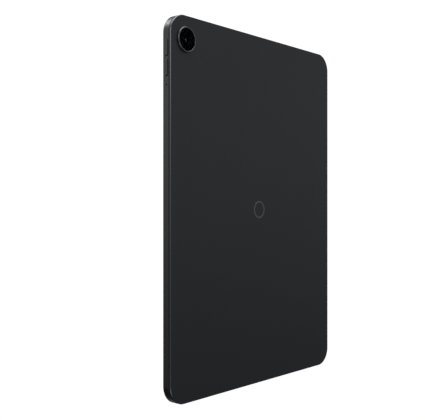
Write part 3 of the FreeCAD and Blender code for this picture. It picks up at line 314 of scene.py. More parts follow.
# The walls inside an opening are milled and dyed but never blasted, with tool lines. Their dark colour is
# painted shade: it stands for the shade inside openings, grooves and pockets and on the keys' flanks in their
# slots, over the smoother wall's own slightly deeper tone.
SHADED_MILLED_WALL = Finish(
    "milled_anodised_opening", Grain.STREAKS, 0.2, "#3f4143", "#4a4c4f", (0.32, 0.45),
    metallic=1.0, relief_mm=0.001, blotch_mm=8.0, stretch=ALONG_X)
# Keys are cut from bar, blasted and dyed with the frame, and thumbs keep their middles smoother.
KEY_METAL = Finish(
    "blasted_anodised_key", Grain.GRIT, 0.35, "#77797c", "#838588", (0.28, 0.42),
    metallic=1.0, relief_mm=0.001, blotch_mm=6.0, blotch=0.6)
# The tray is cast and then dyed: a little darker and less even than the frame.
TRAY_METAL = Finish(
    "die_cast_anodised_tray", Grain.GRIT, 0.4, "#66686b", "#737578", (0.34, 0.46),
    metallic=1.0, relief_mm=0.0015, blotch_mm=9.0, blotch=0.5)
# The ring is turned and dyed darker than it looks: lathe lines spread its highlight into a fan.
RING_METAL = Finish(
    "turned_anodised_camera_ring", Grain.RINGS, 0.18, "#6a6c70", "#85878b", (0.18, 0.30),
    metallic=1.0, relief_mm=0.0015, blotch_mm=12.0, blotch=0.2, stretch=AROUND_Y, centre_mm=CAMERA_AXIS)
# Its lip is faced after dyeing begins, and takes less of the dye: an even, paler satin.
RING_LIP = Finish(
    "faced_anodised_ring_lip", Grain.RINGS, 0.16, "#85878a", "#8d8f92", (0.26, 0.34),
    metallic=1.0, relief_mm=0.0008, blotch_mm=12.0, blotch=0.3, stretch=AROUND_Y, centre_mm=CAMERA_AXIS)
# Satin metal inlay with fine circular lines: paler than the shell, a thin light line from afar.
MARK_METAL = Finish(
    "satin_metal_inlay", Grain.RINGS, 0.15, "#97999c", "#a9abae", (0.30, 0.40),
    metallic=1.0, relief_mm=0.001, blotch_mm=10.0, blotch=0.3, stretch=AROUND_Y, centre_mm=MARK_AXIS)
# Filled nylon let into the frame: dyed to match, matt, with a fine moulded grain.
BREAK_PLASTIC = Finish(
    "filled_nylon_break", Grain.GRIT, 0.3, "#2a2b2d", "#323436", (0.48, 0.60),
    relief_mm=0.003, blotch_mm=4.0, sockets=(("IOR", 1.53),))
# Silicone seal: near black, dull, slightly pitted.
SEAL_RUBBER = Finish(
    "silicone_seal", Grain.GRIT, 0.4, "#0b0b0c", "#121314", (0.62, 0.75),
    relief_mm=0.004, blotch_mm=10.0, sockets=(("IOR", 1.41),))
# Strengthened glass: mirror-smooth and clear, with the faintest change of gloss from handling.
COVER_GLASS = Finish(
    "strengthened_cover_glass", Grain.GRIT, 14.0, "#fbfcfc", "#ffffff", (0.010, 0.045),
    relief_mm=0.0, blotch_mm=60.0, blotch=0.5, sockets=BONDED_GLASS)
# Ground and polished camera glass: clear, with a cool cast and the faintest change of gloss.
CAMERA_GLASS = Finish(
    "polished_camera_glass", Grain.GRIT, 5.0, "#e9ecef", "#f4f6f8", (0.008, 0.03),
    relief_mm=0.0, blotch_mm=9.0, blotch=0.5, sockets=COATED_GLASS)
# Two coats of screen-printed ink, seen through the glass: a flat, deep black with pin-prick grain.
PRINTED_INK = Finish(
    "screen_printed_black_ink", Grain.GRIT, 0.6, "#020203", "#050607", (0.35, 0.5),
    relief_mm=0.001, blotch_mm=40.0, sockets=(("IOR", 1.50), ("Specular IOR Level", 0.05)))
# A polariser swallows nearly all the light: black with a cool cast, a shade above the ink.
POLARISER_FILM = Finish(
    "stretched_polariser_film", Grain.STREAKS, 0.8, "#07080a", "#0b0d10", (0.16, 0.24),
    relief_mm=0.0002, blotch_mm=90.0, blotch=0.6, stretch=ALONG_Z,
    sockets=(("IOR", 1.49), ("Specular IOR Level", 0.12)))
# The coloured cells of the panel are 0.1 mm apart, drawn as 0.6 mm tiles.
PANEL_CELLS = Finish(
    "colour_filter_glass", Grain.TILES, 0.6, "#14181a", "#23292c", (0.10, 0.18),
    relief_mm=0.001, blotch_mm=60.0, sockets=(("IOR", 1.52), ("Coat Weight", 0.6)))
# White reflector behind the panel: soft, bright, with the lines of the roll it was cut from.
BACKLIGHT_FILMS = Finish(
    "white_reflector_film", Grain.STREAKS, 0.5, "#c9ccd0", "#e3e5e8", (0.30, 0.42),
    relief_mm=0.002, blotch_mm=50.0, stretch=ALONG_X, sockets=(("IOR", 1.58), ("Sheen Weight", 0.1)))
# Closed-cell acrylic foam: matt, full of tiny bubbles, drawn at 0.5 mm.
FOAM_TAPE = Finish(
    "acrylic_foam_tape", Grain.CELLS, 0.5, "#0d0d0e", "#1b1b1d", (0.75, 0.92),
    relief_mm=0.05, blotch_mm=12.0, sockets=(("IOR", 1.47),))
# Rolled stainless plate, stamped: faint rolling lines along its length.
ROLLED_PLATE = Finish(
    "rolled_stainless_plate", Grain.STREAKS, 0.4, "#8b8e92", "#a5a8ac", (0.28, 0.42),
    metallic=1.0, relief_mm=0.002, blotch_mm=40.0, stretch=ALONG_Z)
# Hard strip, blanked and domed by a punch that leaves faint rings round the crown.
SPRING_STEEL = Finish(
    "blanked_spring_steel", Grain.RINGS, 0.12, "#9b9da0", "#b9bbbe", (0.16, 0.26),
    metallic=1.0, relief_mm=0.001, blotch_mm=2.0, centre_mm=DOME_MIDDLE)
# Pressed tin-plated steel: soft grey with short draw marks.
PRESSED_STEEL = Finish(
    "pressed_tin_plated_steel", Grain.STREAKS, 0.3, "#8f9296", "#b0b3b7", (0.26, 0.40),
    metallic=1.0, relief_mm=0.003, blotch_mm=8.0, blotch=0.5, stretch=(0.15, 1.0, 1.0))
# Nickel over steel: bright, with the fine grit that tumbling leaves on small screws.
SCREW_STEEL = Finish(
    "nickel_plated_screw", Grain.GRIT, 0.25, "#8c8f93", "#aaadb1", (0.20, 0.32),
    metallic=1.0, relief_mm=0.003, blotch_mm=2.0, blotch=0.5)
# Drawn stainless wire, blackened: each strand keeps a thin highlight along its length.
MESH_WIRE = Finish(
    "blackened_woven_wire", Grain.STREAKS, 0.1, "#2c2d2f", "#46484a", (0.30, 0.44),
    metallic=1.0, relief_mm=0.001, blotch_mm=5.0, stretch=ALONG_X)
# Hard gold over nickel on the contacts: warm and bright, with fine lines from the plating strip.
CONTACT_GOLD = Finish(
    "hard_gold_plate", Grain.STREAKS, 0.1, "#d8a94e", "#edc878", (0.16, 0.26),
    metallic=1.0, relief_mm=0.0008, blotch_mm=2.0, stretch=ALONG_Z)
# Glass-filled black polymer, moulded in a spark-eroded tool: an even, matt grain of about 0.1 mm,
# drawn at 0.4 mm.
MOULDED_BLACK = Finish(
    "glass_filled_black_polymer", Grain.GRIT, 0.4, "#101112", "#1a1b1d", (0.50, 0.64),
    relief_mm=0.012, blotch_mm=9.0, sockets=(("IOR", 1.57),))
# Flocked, light-killing black behind the camera's glass.
BAFFLE_BLACK = Finish(
    "blackened_baffle", Grain.RINGS, 0.2, "#020203", "#060607", (0.42, 0.58),
    relief_mm=0.006, blotch_mm=6.0, stretch=AROUND_Y, centre_mm=CAMERA_AXIS, sockets=(("IOR", 1.46),))
# The barrel is the same polymer with fine ribs that swallow stray light.
BARREL_BLACK = Finish(
    "ribbed_lens_barrel_polymer", Grain.RINGS, 0.3, "#08080a", "#131316", (0.38, 0.52),
    relief_mm=0.01, blotch_mm=4.0, stretch=AROUND_Y, centre_mm=CAMERA_AXIS, sockets=(("IOR", 1.57),))
# Moulded lens with a stack of coatings: nearly black, with a blue-violet film of gloss.
COATED_LENS = Finish(
    "coated_moulded_lens", Grain.RINGS, 0.9, "#0b0f1c", "#1a1c33", (0.02, 0.05),
    relief_mm=0.0, blotch_mm=3.0, stretch=AROUND_Y, centre_mm=CAMERA_AXIS,
    sockets=(("IOR", 1.60), ("Coat Weight", 1.0), ("Coat Roughness", 0.02), ("Coat IOR", 1.75)))
# Polyimide film over copper: amber, glossy, with its conductors just showing.
FLEX_FILM = Finish(
    "polyimide_flat_cable", Grain.STRIPES, 0.6, "#7a3d10", "#a8621f", (0.22, 0.34),
    relief_mm=0.02, blotch_mm=14.0, blotch=0.25, sockets=(("IOR", 1.66), ("Coat Weight", 0.5)))
# Soft silicone round the microphone: matt, faintly pebbled.
MIC_BOOT = Finish(
    "silicone_microphone_boot", Grain.CELLS, 0.35, "#0e0e0f", "#1a1a1b", (0.60, 0.74),
    relief_mm=0.01, blotch_mm=2.5, sockets=(("IOR", 1.41),))
# Solder mask over copper: dark blue-green, the copper lands a shade lighter and slightly raised.
SOLDER_MASK = Finish(
    "solder_mask_on_copper", Grain.TILES, 1.6, "#0d2420", "#1b4238", (0.22, 0.34),
    relief_mm=0.03, blotch_mm=10.0, sockets=(("IOR", 1.55), ("Coat Weight", 0.3)))
# Filled resin, moulded over the chips: dark grey with a sandy grain.
CHIP_RESIN = Finish(
    "moulded_chip_resin", Grain.GRIT, 0.3, "#17181a", "#232527", (0.46, 0.58),
    relief_mm=0.008, blotch_mm=3.0, sockets=(("IOR", 1.55),))
# Putty-soft silicone full of ceramic powder: chalky blue-grey.
THERMAL_PAD = Finish(
    "filled_silicone_pad", Grain.CELLS, 0.6, "#7d8b94", "#98a6ae", (0.66, 0.80),
    relief_mm=0.03, blotch_mm=8.0, sockets=(("IOR", 1.43), ("Sheen Weight", 0.1)))
# Rolled graphite: dark silver, with streaks along the roll.
GRAPHITE = Finish(
    "rolled_graphite_sheet", Grain.STREAKS, 0.5, "#202123", "#35373a", (0.36, 0.52),
    metallic=0.6, relief_mm=0.006, blotch_mm=18.0, stretch=ALONG_X)
# Aluminium-nylon pouch: silvery film that the cell inside pulls into shallow creases.
POUCH_FOIL = Finish(
    "laminated_pouch_foil", Grain.CELLS, 7.0, "#8f9194", "#a9abad", (0.26, 0.42),
    metallic=0.85, relief_mm=0.12, blotch_mm=25.0, blotch=0.4, stretch=(1.0, 1.0, 0.55))
# White tape that stretches to let a battery go: satin, with fine lines along it.
WHITE_TAPE = Finish(
    "stretch_release_tape", Grain.STREAKS, 0.5, "#d5d6d4", "#eceded", (0.50, 0.64),
    relief_mm=0.01, blotch_mm=15.0, stretch=ALONG_Z, sockets=(("IOR", 1.47),))


# ---------------------------------------------------------------- outlines and solids
class Outline(Protocol):
    """A closed line that knows its own points and can grow."""

    def grown(self, by: float) -> "Outline":
        """Returns the line moved outwards all round."""

    def points(self) -> list[tuple[float, float]]:
        """Returns the points in order, in millimetres on the outline's own plane."""


@dataclass(frozen=True)
class RoundedRect:
    """A rectangle with round corners; a radius of half the width makes a pill.

    Attributes:
        length: Size along the first direction.
        width: Size along the second.
        radius: Corner radius.
        centre: Its middle.
        steps: Points to a quarter turn.
    """

    length: float
    width: float
    radius: float
    centre: tuple[float, float] = (0.0, 0.0)
    steps: int = SMALL_STEPS

    def grown(self, by: float) -> "RoundedRect":
        """Returns the outline moved outwards all round, or inwards where the number is negative."""
        radius = max(self.radius + by, SQUARE_CORNER)
        return RoundedRect(self.length + 2 * by, self.width + 2 * by, radius, self.centre, self.steps)

    def points(self) -> list[tuple[float, float]]:
        """Lists the points, anticlockwise from the first direction.

        Returns:
            Positions along the two directions, in millimetres.
        """
        line = []
        for quarter, (side_u, side_v) in enumerate(((1, 1), (-1, 1), (-1, -1), (1, -1))):
            corner_u = self.centre[0] + side_u * (self.length / 2 - self.radius)
            corner_v = self.centre[1] + side_v * (self.width / 2 - self.radius)
            for step in range(self.steps + 1):
                angle = (quarter + step / self.steps) * math.pi / 2
                line.append((
                    corner_u + self.radius * math.cos(angle),
                    corner_v + self.radius * math.sin(angle),
                ))
        return line


@dataclass(frozen=True)
class Circle:
    """A circle; a radius of 0 closes a shape at its axis.

    Attributes:
        radius: Its radius.
        centre: Its middle.
        steps: Number of points.
    """

    radius: float
    centre: tuple[float, float] = (0.0, 0.0)
    steps: int = CIRCLE_STEPS

    def grown(self, by: float) -> "Circle":
        """Returns the circle with its radius changed by this much."""
        return Circle(self.radius + by, self.centre, self.steps)

    def points(self) -> list[tuple[float, float]]:
        """Lists the points, anticlockwise from the first direction.

        Returns:
            Positions along the two directions, in millimetres.
        """
        turns = [2 * math.pi * step / self.steps for step in range(self.steps)]
        return [
            (self.centre[0] + self.radius * math.cos(turn), self.centre[1] + self.radius * math.sin(turn))
            for turn in turns
        ]


@dataclass(frozen=True)
class Section:
    """One ring of a solid.

    Attributes:
        outline: The ring's line.
        level: Where its plane stands, in millimetres.
        finish: Which of the piece's finishes the strip after it has.
    """

    outline: Outline
    level: float
    finish: int = 0


def flat(across: float, up: float, level: float) -> Point:
    """Places a point of an outline that is seen along Y."""
    return (across, level, up)


def new_piece(name: str, work: bmesh.types.BMesh, finishes: Sequence[Finish]) -> bpy.types.Object:
    """Turns a mesh in millimetres into a finished object at the origin.

    Args:
        name: The object's name.
        work: The mesh, which is freed.
        finishes: Its finishes, in the order of the faces' numbers.

    Returns:
        The object, linked to the scene.
    """
    bmesh.ops.scale(work, vec=(MM, MM, MM), verts=work.verts)
    bmesh.ops.remove_doubles(work, verts=work.verts, dist=1e-7)
    bmesh.ops.recalc_face_normals(work, faces=work.faces)
    mesh = bpy.data.meshes.new(name)
    work.to_mesh(mesh)
    work.free()
    for finish in finishes:
        mesh.materials.append(finish.material())
    piece = bpy.data.objects.new(name, mesh)
    bpy.context.scene.collection.objects.link(piece)
    soften(piece)
    return piece


def soften(piece: bpy.types.Object) -> None:
    """Shades a piece smooth, with its real edges kept sharp and flats kept flat.

    Args:
        piece: An object with a mesh.
    """
    piece.data.shade_smooth()
    piece.data.set_sharp_from_angle(angle=SHARP_ANGLE)
    weighted = piece.modifiers.new("even_normals", "WEIGHTED_NORMAL")
    weighted.keep_sharp = True
    settle(piece)


def settle(piece: bpy.types.Object) -> None:
    """Turns a piece's modifiers into its plain mesh.

    Args:
        piece: An object with a mesh and live modifiers.
    """
    graph = bpy.context.evaluated_depsgraph_get()
    mesh = bpy.data.meshes.new_from_object(piece.evaluated_get(graph), depsgraph=graph)
    old = piece.data
    piece.modifiers.clear()
    piece.data = mesh
    mesh.name = piece.name
    bpy.data.meshes.remove(old)


def loft_mesh(sections: Sequence[Section], place: Place = flat, loop: bool = False) -> bmesh.types.BMesh:
    """Joins rings one to the next into a closed solid.

    Args:
        sections: The rings in order; all have as many points.
        place: Puts a point of an outline and its level in space.
        loop: True for a hollow ring, whose last section joins its first; otherwise both ends get lids.

    Returns:
        The mesh, in millimetres.
    """
    work = bmesh.new()
    rings = [
        [work.verts.new(place(u, v, section.level)) for u, v in section.outline.points()]
        for section in sections
    ]
    pairs = list(zip(range(len(rings)), range(1, len(rings)))) + ([(len(rings) - 1, 0)] if loop else [])
    for first, second in pairs:
        count = len(rings[first])
        for index in range(count):
            after = (index + 1) % count
            corners = (
                rings[first][index], rings[first][after], rings[second][after], rings[second][index])
            work.faces.new(corners).material_index = sections[first].finish
    if not loop:
        for end in (0, -1):
            work.faces.new(rings[end]).material_index = sections[end].finish
    return work


def joined(parts: Iterable[bmesh.types.BMesh]) -> bmesh.types.BMesh:
    """Puts several meshes into one, side by side.

    Args:
        parts: The meshes, which are freed.

    Returns:
        One mesh with all their faces.
    """
    whole = bmesh.new()
    for part in parts:
        carrier = bpy.data.meshes.new("carrier")
        part.to_mesh(carrier)
        part.free()
        whole.from_mesh(carrier)
        bpy.data.meshes.remove(carrier)
    return whole


def carve(piece: bpy.types.Object, cutters: Sequence[bmesh.types.BMesh], finishes: Sequence[Finish]) -> None:
    """Cuts solids out of a piece.

    Args:
        piece: What is cut.
        cutters: Solids that don't touch each other, in millimetres.
        finishes: The piece's finishes, which the cut faces take by number.
    """
    tool = new_piece("cutter", joined(cutters), finishes)
    boolean = piece.modifiers.new("cut", "BOOLEAN")
    boolean.operation = "DIFFERENCE"
    boolean.solver = "EXACT"
    boolean.material_mode = "INDEX"
    boolean.object = tool
    settle(piece)
    bpy.data.objects.remove(tool)
    soften(piece)


def fillet(radius: float, steps: int = 5) -> list[tuple[float, float]]:
    """Lists the points of a quarter-round edge.

    Args:
        radius: Radius of the round.
        steps: Number of strips in it.

    Returns:
        Pairs of (inset from the flank, drop from the crown), from the crown to the flank.
    """
    turns = [math.pi / 2 * step / steps for step in range(steps + 1)]
    return [(radius * (1 - math.sin(turn)), radius * (1 - math.cos(turn))) for turn in turns]


# ---------------------------------------------------------------- the frame's own boxes
def box_mm(node: str) -> tuple[Vector, Vector]:
    """Returns a CAD node's lowest and highest corners in millimetres."""
    low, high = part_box(node)
    return low / MM, high / MM


def middle_mm(node: str) -> Vector:
    """Returns the middle of a CAD node's box in millimetres."""
    low, high = box_mm(node)
    return (low + high) / 2


def islands_mm(node: str) -> list[tuple[Vector, Vector]]:
    """Finds the separate solids of a CAD node.

    Args:
        node: The node's name.

    Returns:
        The lowest and highest corner of each solid in millimetres, in order of X and then Z.
    """
    work = bmesh.new()
    work.from_mesh(frame["nodes"][node].data)
    bmesh.ops.remove_doubles(work, verts=work.verts, dist=1e-6)
    waiting = set(work.verts)
    boxes = []
    while waiting:
        reached = [waiting.pop()]
        corners = []
        while reached:
            vert = reached.pop()
            corners.append(vert.co / MM)
            for edge in vert.link_edges:
                other = edge.other_vert(vert)
                if other in waiting:
                    waiting.remove(other)
                    reached.append(other)
        low = Vector(min(corner[axis] for corner in corners) for axis in range(3))
        high = Vector(max(corner[axis] for corner in corners) for axis in range(3))
        boxes.append((low, high))
    work.free()
    return sorted(boxes, key=lambda pair: (round(pair[0].x, 2), round(pair[0].z, 2)))


BODY_LOW, BODY_HIGH = box_mm("side_frame")
COVER_LOW, COVER_HIGH = box_mm("back_cover")
SIDE_AXIS_Y = middle_mm("volume_up_key").y


class Side(Enum):
    """One of the tablet's four edges. A depth is measured inwards from its outer surface."""

    RIGHT = "right"
    LEFT = "left"
    TOP = "top"
    BOTTOM = "bottom"

    def place(self, along: float, across: float, depth: float) -> Point:
        """Puts a point of an opening or key in space.

        Args:
            along: Position along the edge, X for the short edges and Z for the long ones.
            across: Y.
            depth: Distance inwards from the outer surface.

        Returns:
            The point in millimetres.
        """
        if self is Side.RIGHT:
            return (BODY_HIGH.x - depth, across, along)
        if self is Side.LEFT:
            return (BODY_LOW.x + depth, across, along)
        if self is Side.TOP:
            return (along, across, BODY_HIGH.z - depth)
        return (along, across, BODY_LOW.z + depth)

    def spans(self, low: Vector, high: Vector) -> tuple[tuple[float, float], tuple[float, float]]:
        """Measures a box against the edge.

        Args:
            low: The box's lowest corner in millimetres.
            high: Its highest corner.

        Returns:
            Where it starts and ends along the edge, and its nearest and farthest depth.
        """
        inwards, along = (0, 2) if self in (Side.RIGHT, Side.LEFT) else (2, 0)
        if self in (Side.RIGHT, Side.TOP):
            depths = (BODY_HIGH[inwards] - high[inwards], BODY_HIGH[inwards] - low[inwards])
        else:
            depths = (low[inwards] - BODY_LOW[inwards], high[inwards] - BODY_LOW[inwards])
        return (low[along], high[along]), depths


def opening(
    side: Side, outline: Outline, depth: float, flare: float = 0.0, start: float = -OUTSIDE
) -> bmesh.types.BMesh:
    """Makes the solid that cuts one opening into an edge, with its rim broken where it has a flare.

    Args:
        side: The edge.
        outline: The opening's line, along the edge and across it.
        depth: How deep it goes.
        flare: Width of the broken rim.
        start: Depth at which it starts; below 0 is outside the surface.

    Returns:
        The cutter, in millimetres.
    """
    if flare:
        wide = outline.grown(flare - start)
        rims = [Section(outline, flare, 1), Section(wide, start, 1)]
    else:
        rims = [Section(outline, start, 2)]
    return loft_mesh([Section(outline, depth, 2)] + rims, side.place)


def block(
    side: Side, along: tuple[float, float], across: tuple[float, float], depth: tuple[float, float]
) -> bmesh.types.BMesh:
    """Makes a square-cornered cutter in an edge.

    Args:
        side: The edge.
        along: Where it starts and ends along the edge.
        across: Its lowest and highest Y.
        depth: Its first and last depth.

    Returns:
        The cutter, in millimetres.
    """
    middle = (sum(along) / 2, sum(across) / 2)
    outline = RoundedRect(along[1] - along[0], across[1] - across[0], SQUARE_CORNER, middle, 2)
    return loft_mesh([Section(outline, depth[0], 2), Section(outline, depth[1], 2)], side.place)


@dataclass
class SubAssembly:
    """Pieces that are made, dressed and put on their bodies together."""

    pieces: list[bpy.types.Object] = field(default_factory=list, init=False)

    def keep(
        self, piece: bpy.types.Object, slot: str, nodes: Sequence[str] = (), body: str = TABLET
    ) -> bpy.types.Object:
        """Puts a finished piece on its body, in place of the CAD nodes that it stands for.

        Args:
            piece: The piece.
            slot: The record's slot that its finish belongs to; not used.
            nodes: CAD nodes that it stands for.
            body: The body that it moves with.

        Returns:
            The piece.
        """
        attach(piece, body)
        if nodes:
            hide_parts(*nodes)
        self.pieces.append(piece)
        return piece

    def dress(self, node: str, finish: Finish) -> None:
        """Gives a CAD node that stays its finish.

        Args:
            node: The node's name.
            finish: What it is made of.
        """
        kept = frame["nodes"][node]
        for holder in kept.material_slots:
            holder.material = finish.material()
        self.pieces.append(kept)

    def build(self) -> None:
        """Makes the pieces; every sub-assembly says how."""
        raise NotImplementedError

    def report(self) -> None:
        """Logs each piece with the body that it rides on."""
        for piece in self.pieces:
            LOG.info("%s: %s on %s, %d faces",
                     type(self).__name__, piece.name, piece["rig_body"], len(piece.data.polygons))


def body_outline() -> RoundedRect:
    """Reads the tablet's outline, seen from the back, off the frame's box.

    Returns:
        The rounded rectangle, in millimetres.
    """
    size = BODY_HIGH - BODY_LOW
    middle = (BODY_LOW + BODY_HIGH) / 2
    return RoundedRect(size.x, size.z, Housing.corner_radius, (middle.x, middle.z), CORNER_STEPS)


@dataclass
class Housing(SubAssembly):
    """The aluminium back shell and side frame, with the seal between them and the antenna breaks."""

    corner_radius: float = 13.0
    cut_edge: float = 0.4
    shell_wall: float = 0.8
    rim_width: float = 1.9
    edge_break: float = 0.06
    front_round: float = 0.45
    lip: float = 0.8
    seat_y: float = -2.6
    flange_back_y: float = -1.1
    flange_inset: float = 7.8
    flange_corner: float = 2.0
    wall: float = 2.2
    fit: float = 0.02
    sensor_play: float = 0.1
    sensor_corner: float = 0.2
    sound_hole: float = 0.5
    hole_flare: float = 0.04
    # The third finish, on the walls of every opening and groove, is painted shade.
    finishes: tuple[Finish, ...] = (SHELL_METAL, CUT_EDGE, SHADED_MILLED_WALL)
    frame_finishes: tuple[Finish, ...] = (FRAME_METAL, CUT_EDGE, SHADED_MILLED_WALL)

    def build(self) -> None:
        """Makes the shell and the frame, and dresses the seal and the breaks."""
        self.keep(self.back_shell(), "back_shell", ["back_cover"])
        self.keep(self.side_frame(), "frame_metal", ["side_frame"])
        self.dress("cover_seal", SEAL_RUBBER)
        self.dress("antenna_breaks", BREAK_PLASTIC)

    def back_shell(self) -> bpy.types.Object:
        """Makes the shallow pan, with its bright-cut edge, camera hole and the mark's groove.

        Returns:
            The shell.
        """
        outline = body_outline()
        rim = outline.grown(-self.rim_width)
        low, high = COVER_LOW.y, COVER_HIGH.y
        sections = [
            Section(rim, high - self.shell_wall),
            Section(rim, low),
            Section(outline.grown(-self.edge_break), low),
            Section(outline, low + self.edge_break),
            Section(outline, high - self.cut_edge, 1),
            Section(outline.grown(-self.cut_edge), high),
        ]
        shell = new_piece("back_shell", loft_mesh(sections), self.finishes)
        camera, mark = middle_mm("camera_ring"), middle_mm("emblem_ring")
        hole = Circle(CameraModule.ring_radius + self.fit, (camera.x, camera.z))
        outer = Circle(Mark.radius + self.fit, (mark.x, mark.z))
        inner = Circle(Mark.radius - Mark.band - self.fit, (mark.x, mark.z))
        floor = high - Mark.thickness
        top = high + OUTSIDE
        camera_hole = loft_mesh([Section(hole, low - OUTSIDE, 2), Section(hole, top, 2)])
        groove = loft_mesh([
            Section(line, level, 2)
            for line, level in ((outer, floor), (outer, top), (inner, top), (inner, floor))
        ], loop=True)
        carve(shell, [camera_hole, groove], self.finishes)
        return shell

    def side_frame(self) -> bpy.types.Object:
        """Makes the frame: side wall, lip round the glass, inner flange and every opening.

        Returns:
            The frame.
        """
        outline = body_outline()
        front, back = BODY_LOW.y, BODY_HIGH.y
        flange = RoundedRect(
            outline.length - 2 * self.flange_inset, outline.width - 2 * self.flange_inset,
            self.flange_corner, outline.centre, CORNER_STEPS)
        sections = [
            Section(outline.grown(-self.edge_break), back),
            Section(outline, back - self.edge_break),
        ]
        sections += [
            Section(outline.grown(-inset), front + drop)
            for inset, drop in reversed(fillet(self.front_round))
        ]
        sections += [
            Section(outline.grown(-(self.lip - self.edge_break)), front),
            Section(outline.grown(-self.lip), front + self.edge_break),
            Section(outline.grown(-self.lip), self.seat_y),
            Section(flange, self.seat_y),
            Section(flange, self.flange_back_y),
            Section(outline.grown(-self.wall), self.flange_back_y),
            Section(outline.grown(-self.wall), back),
        ]
        ring = new_piece("side_frame_ring", loft_mesh(sections, loop=True), self.frame_finishes)
        carve(ring, self.mouths(), self.frame_finishes)
        carve(ring, self.pockets(), self.frame_finishes)
        return ring

    def mouths(self) -> list[bmesh.types.BMesh]:
        """Makes the cutters that open the frame's outer skin, and the front sensors' holes.

        Returns:
            Closed solids that don't touch each other.
        """
        through = self.wall + 2 * PAST_WALL
        cutters = SpeakerGrilles.slots(through) + EdgeKeys.mouths() + CardTray.mouths() + UsbPort.mouths()
        for low, high in islands_mm("microphones"):
            side = Side.RIGHT if low.x > BODY_HIGH.x / 2 else Side.BOTTOM
            hole = Circle(self.sound_hole, (sum(side.spans(low, high)[0]) / 2, SIDE_AXIS_Y), FINE_CIRCLE)
            cutters.append(opening(side, hole, through, self.hole_flare))
        for low, high in islands_mm("antenna_breaks"):
            side = Side.TOP if low.z > BODY_HIGH.z / 2 else Side.BOTTOM
            cutters.append(block(
                side, (low.x - self.fit, high.x + self.fit), (low.y - self.fit, high.y + 2 * PAST_WALL),
                (-OUTSIDE, high.z - low.z + self.fit)))
        for node in ("front_camera_body", "light_sensor"):
            low, high = box_mm(node)
            size, middle = high.x - low.x + 2 * self.sensor_play, (low + high) / 2
            room = RoundedRect(size, size, self.sensor_corner, (middle.x, middle.z), 4)
            front = self.seat_y - 2 * self.sensor_play
            cutters.append(loft_mesh([Section(room, front, 2), Section(room, 0.0, 2)]))
        return cutters

    def pockets(self) -> list[bmesh.types.BMesh]:
        """Collects the cutters for the wider rooms behind the openings.

        Returns:
            Closed solids that don't touch each other.
        """
        return (
            SpeakerGrilles.pockets(self.wall) + EdgeKeys.pockets(self.wall)
            + CardTray.pockets(self.wall) + UsbPort.pockets())


@dataclass
class Mark(SubAssembly):
    """The inlaid mark in the middle of the back: a plain ring, flush with the shell."""

    radius: ClassVar[float] = 6.4
    band: ClassVar[float] = 1.2
    thickness: ClassVar[float] = 0.25
    edge_break: float = 0.05

    def build(self) -> None:
        """Makes the ring with broken edges, which catch a thin line of light."""
        middle, high = middle_mm("emblem_ring"), box_mm("emblem_ring")[1].y
        low, inner = high - self.thickness, self.radius - self.band
        profile = (
            (inner, low), (self.radius, low), (self.radius, high - self.edge_break),
            (self.radius - self.edge_break, high), (inner + self.edge_break, high),
            (inner, high - self.edge_break),
        )
        ring = turned("mark_ring", middle, profile, (MARK_METAL,), loop=True)
        self.keep(ring, "emblem_silver", ["emblem_ring"])


def turned(
    name: str, axis: Vector, profile: Sequence[tuple[float, float]], finishes: Sequence[Finish],
    loop: bool = False, bright: Sequence[int] = (), steps: int = CIRCLE_STEPS,
) -> bpy.types.Object:
    """Makes a piece that is turned about a line along Y.

    Args:
        name: The piece's name.
        axis: A point of the line.
        profile: Pairs of radius and Y; a radius of 0 ends the piece on its axis.
        finishes: The piece's finishes.
        loop: True where the profile closes on itself round a bore.
        bright: Numbers of the profile's strips that have the second finish.
        steps: Points round the circle.

    Returns:
        The piece.
    """
    sections = [
        Section(Circle(radius, (axis.x, axis.z), steps), level, int(index in bright))
        for index, (radius, level) in enumerate(profile)
    ]
    return new_piece(name, loft_mesh(sections, loop=loop), finishes)


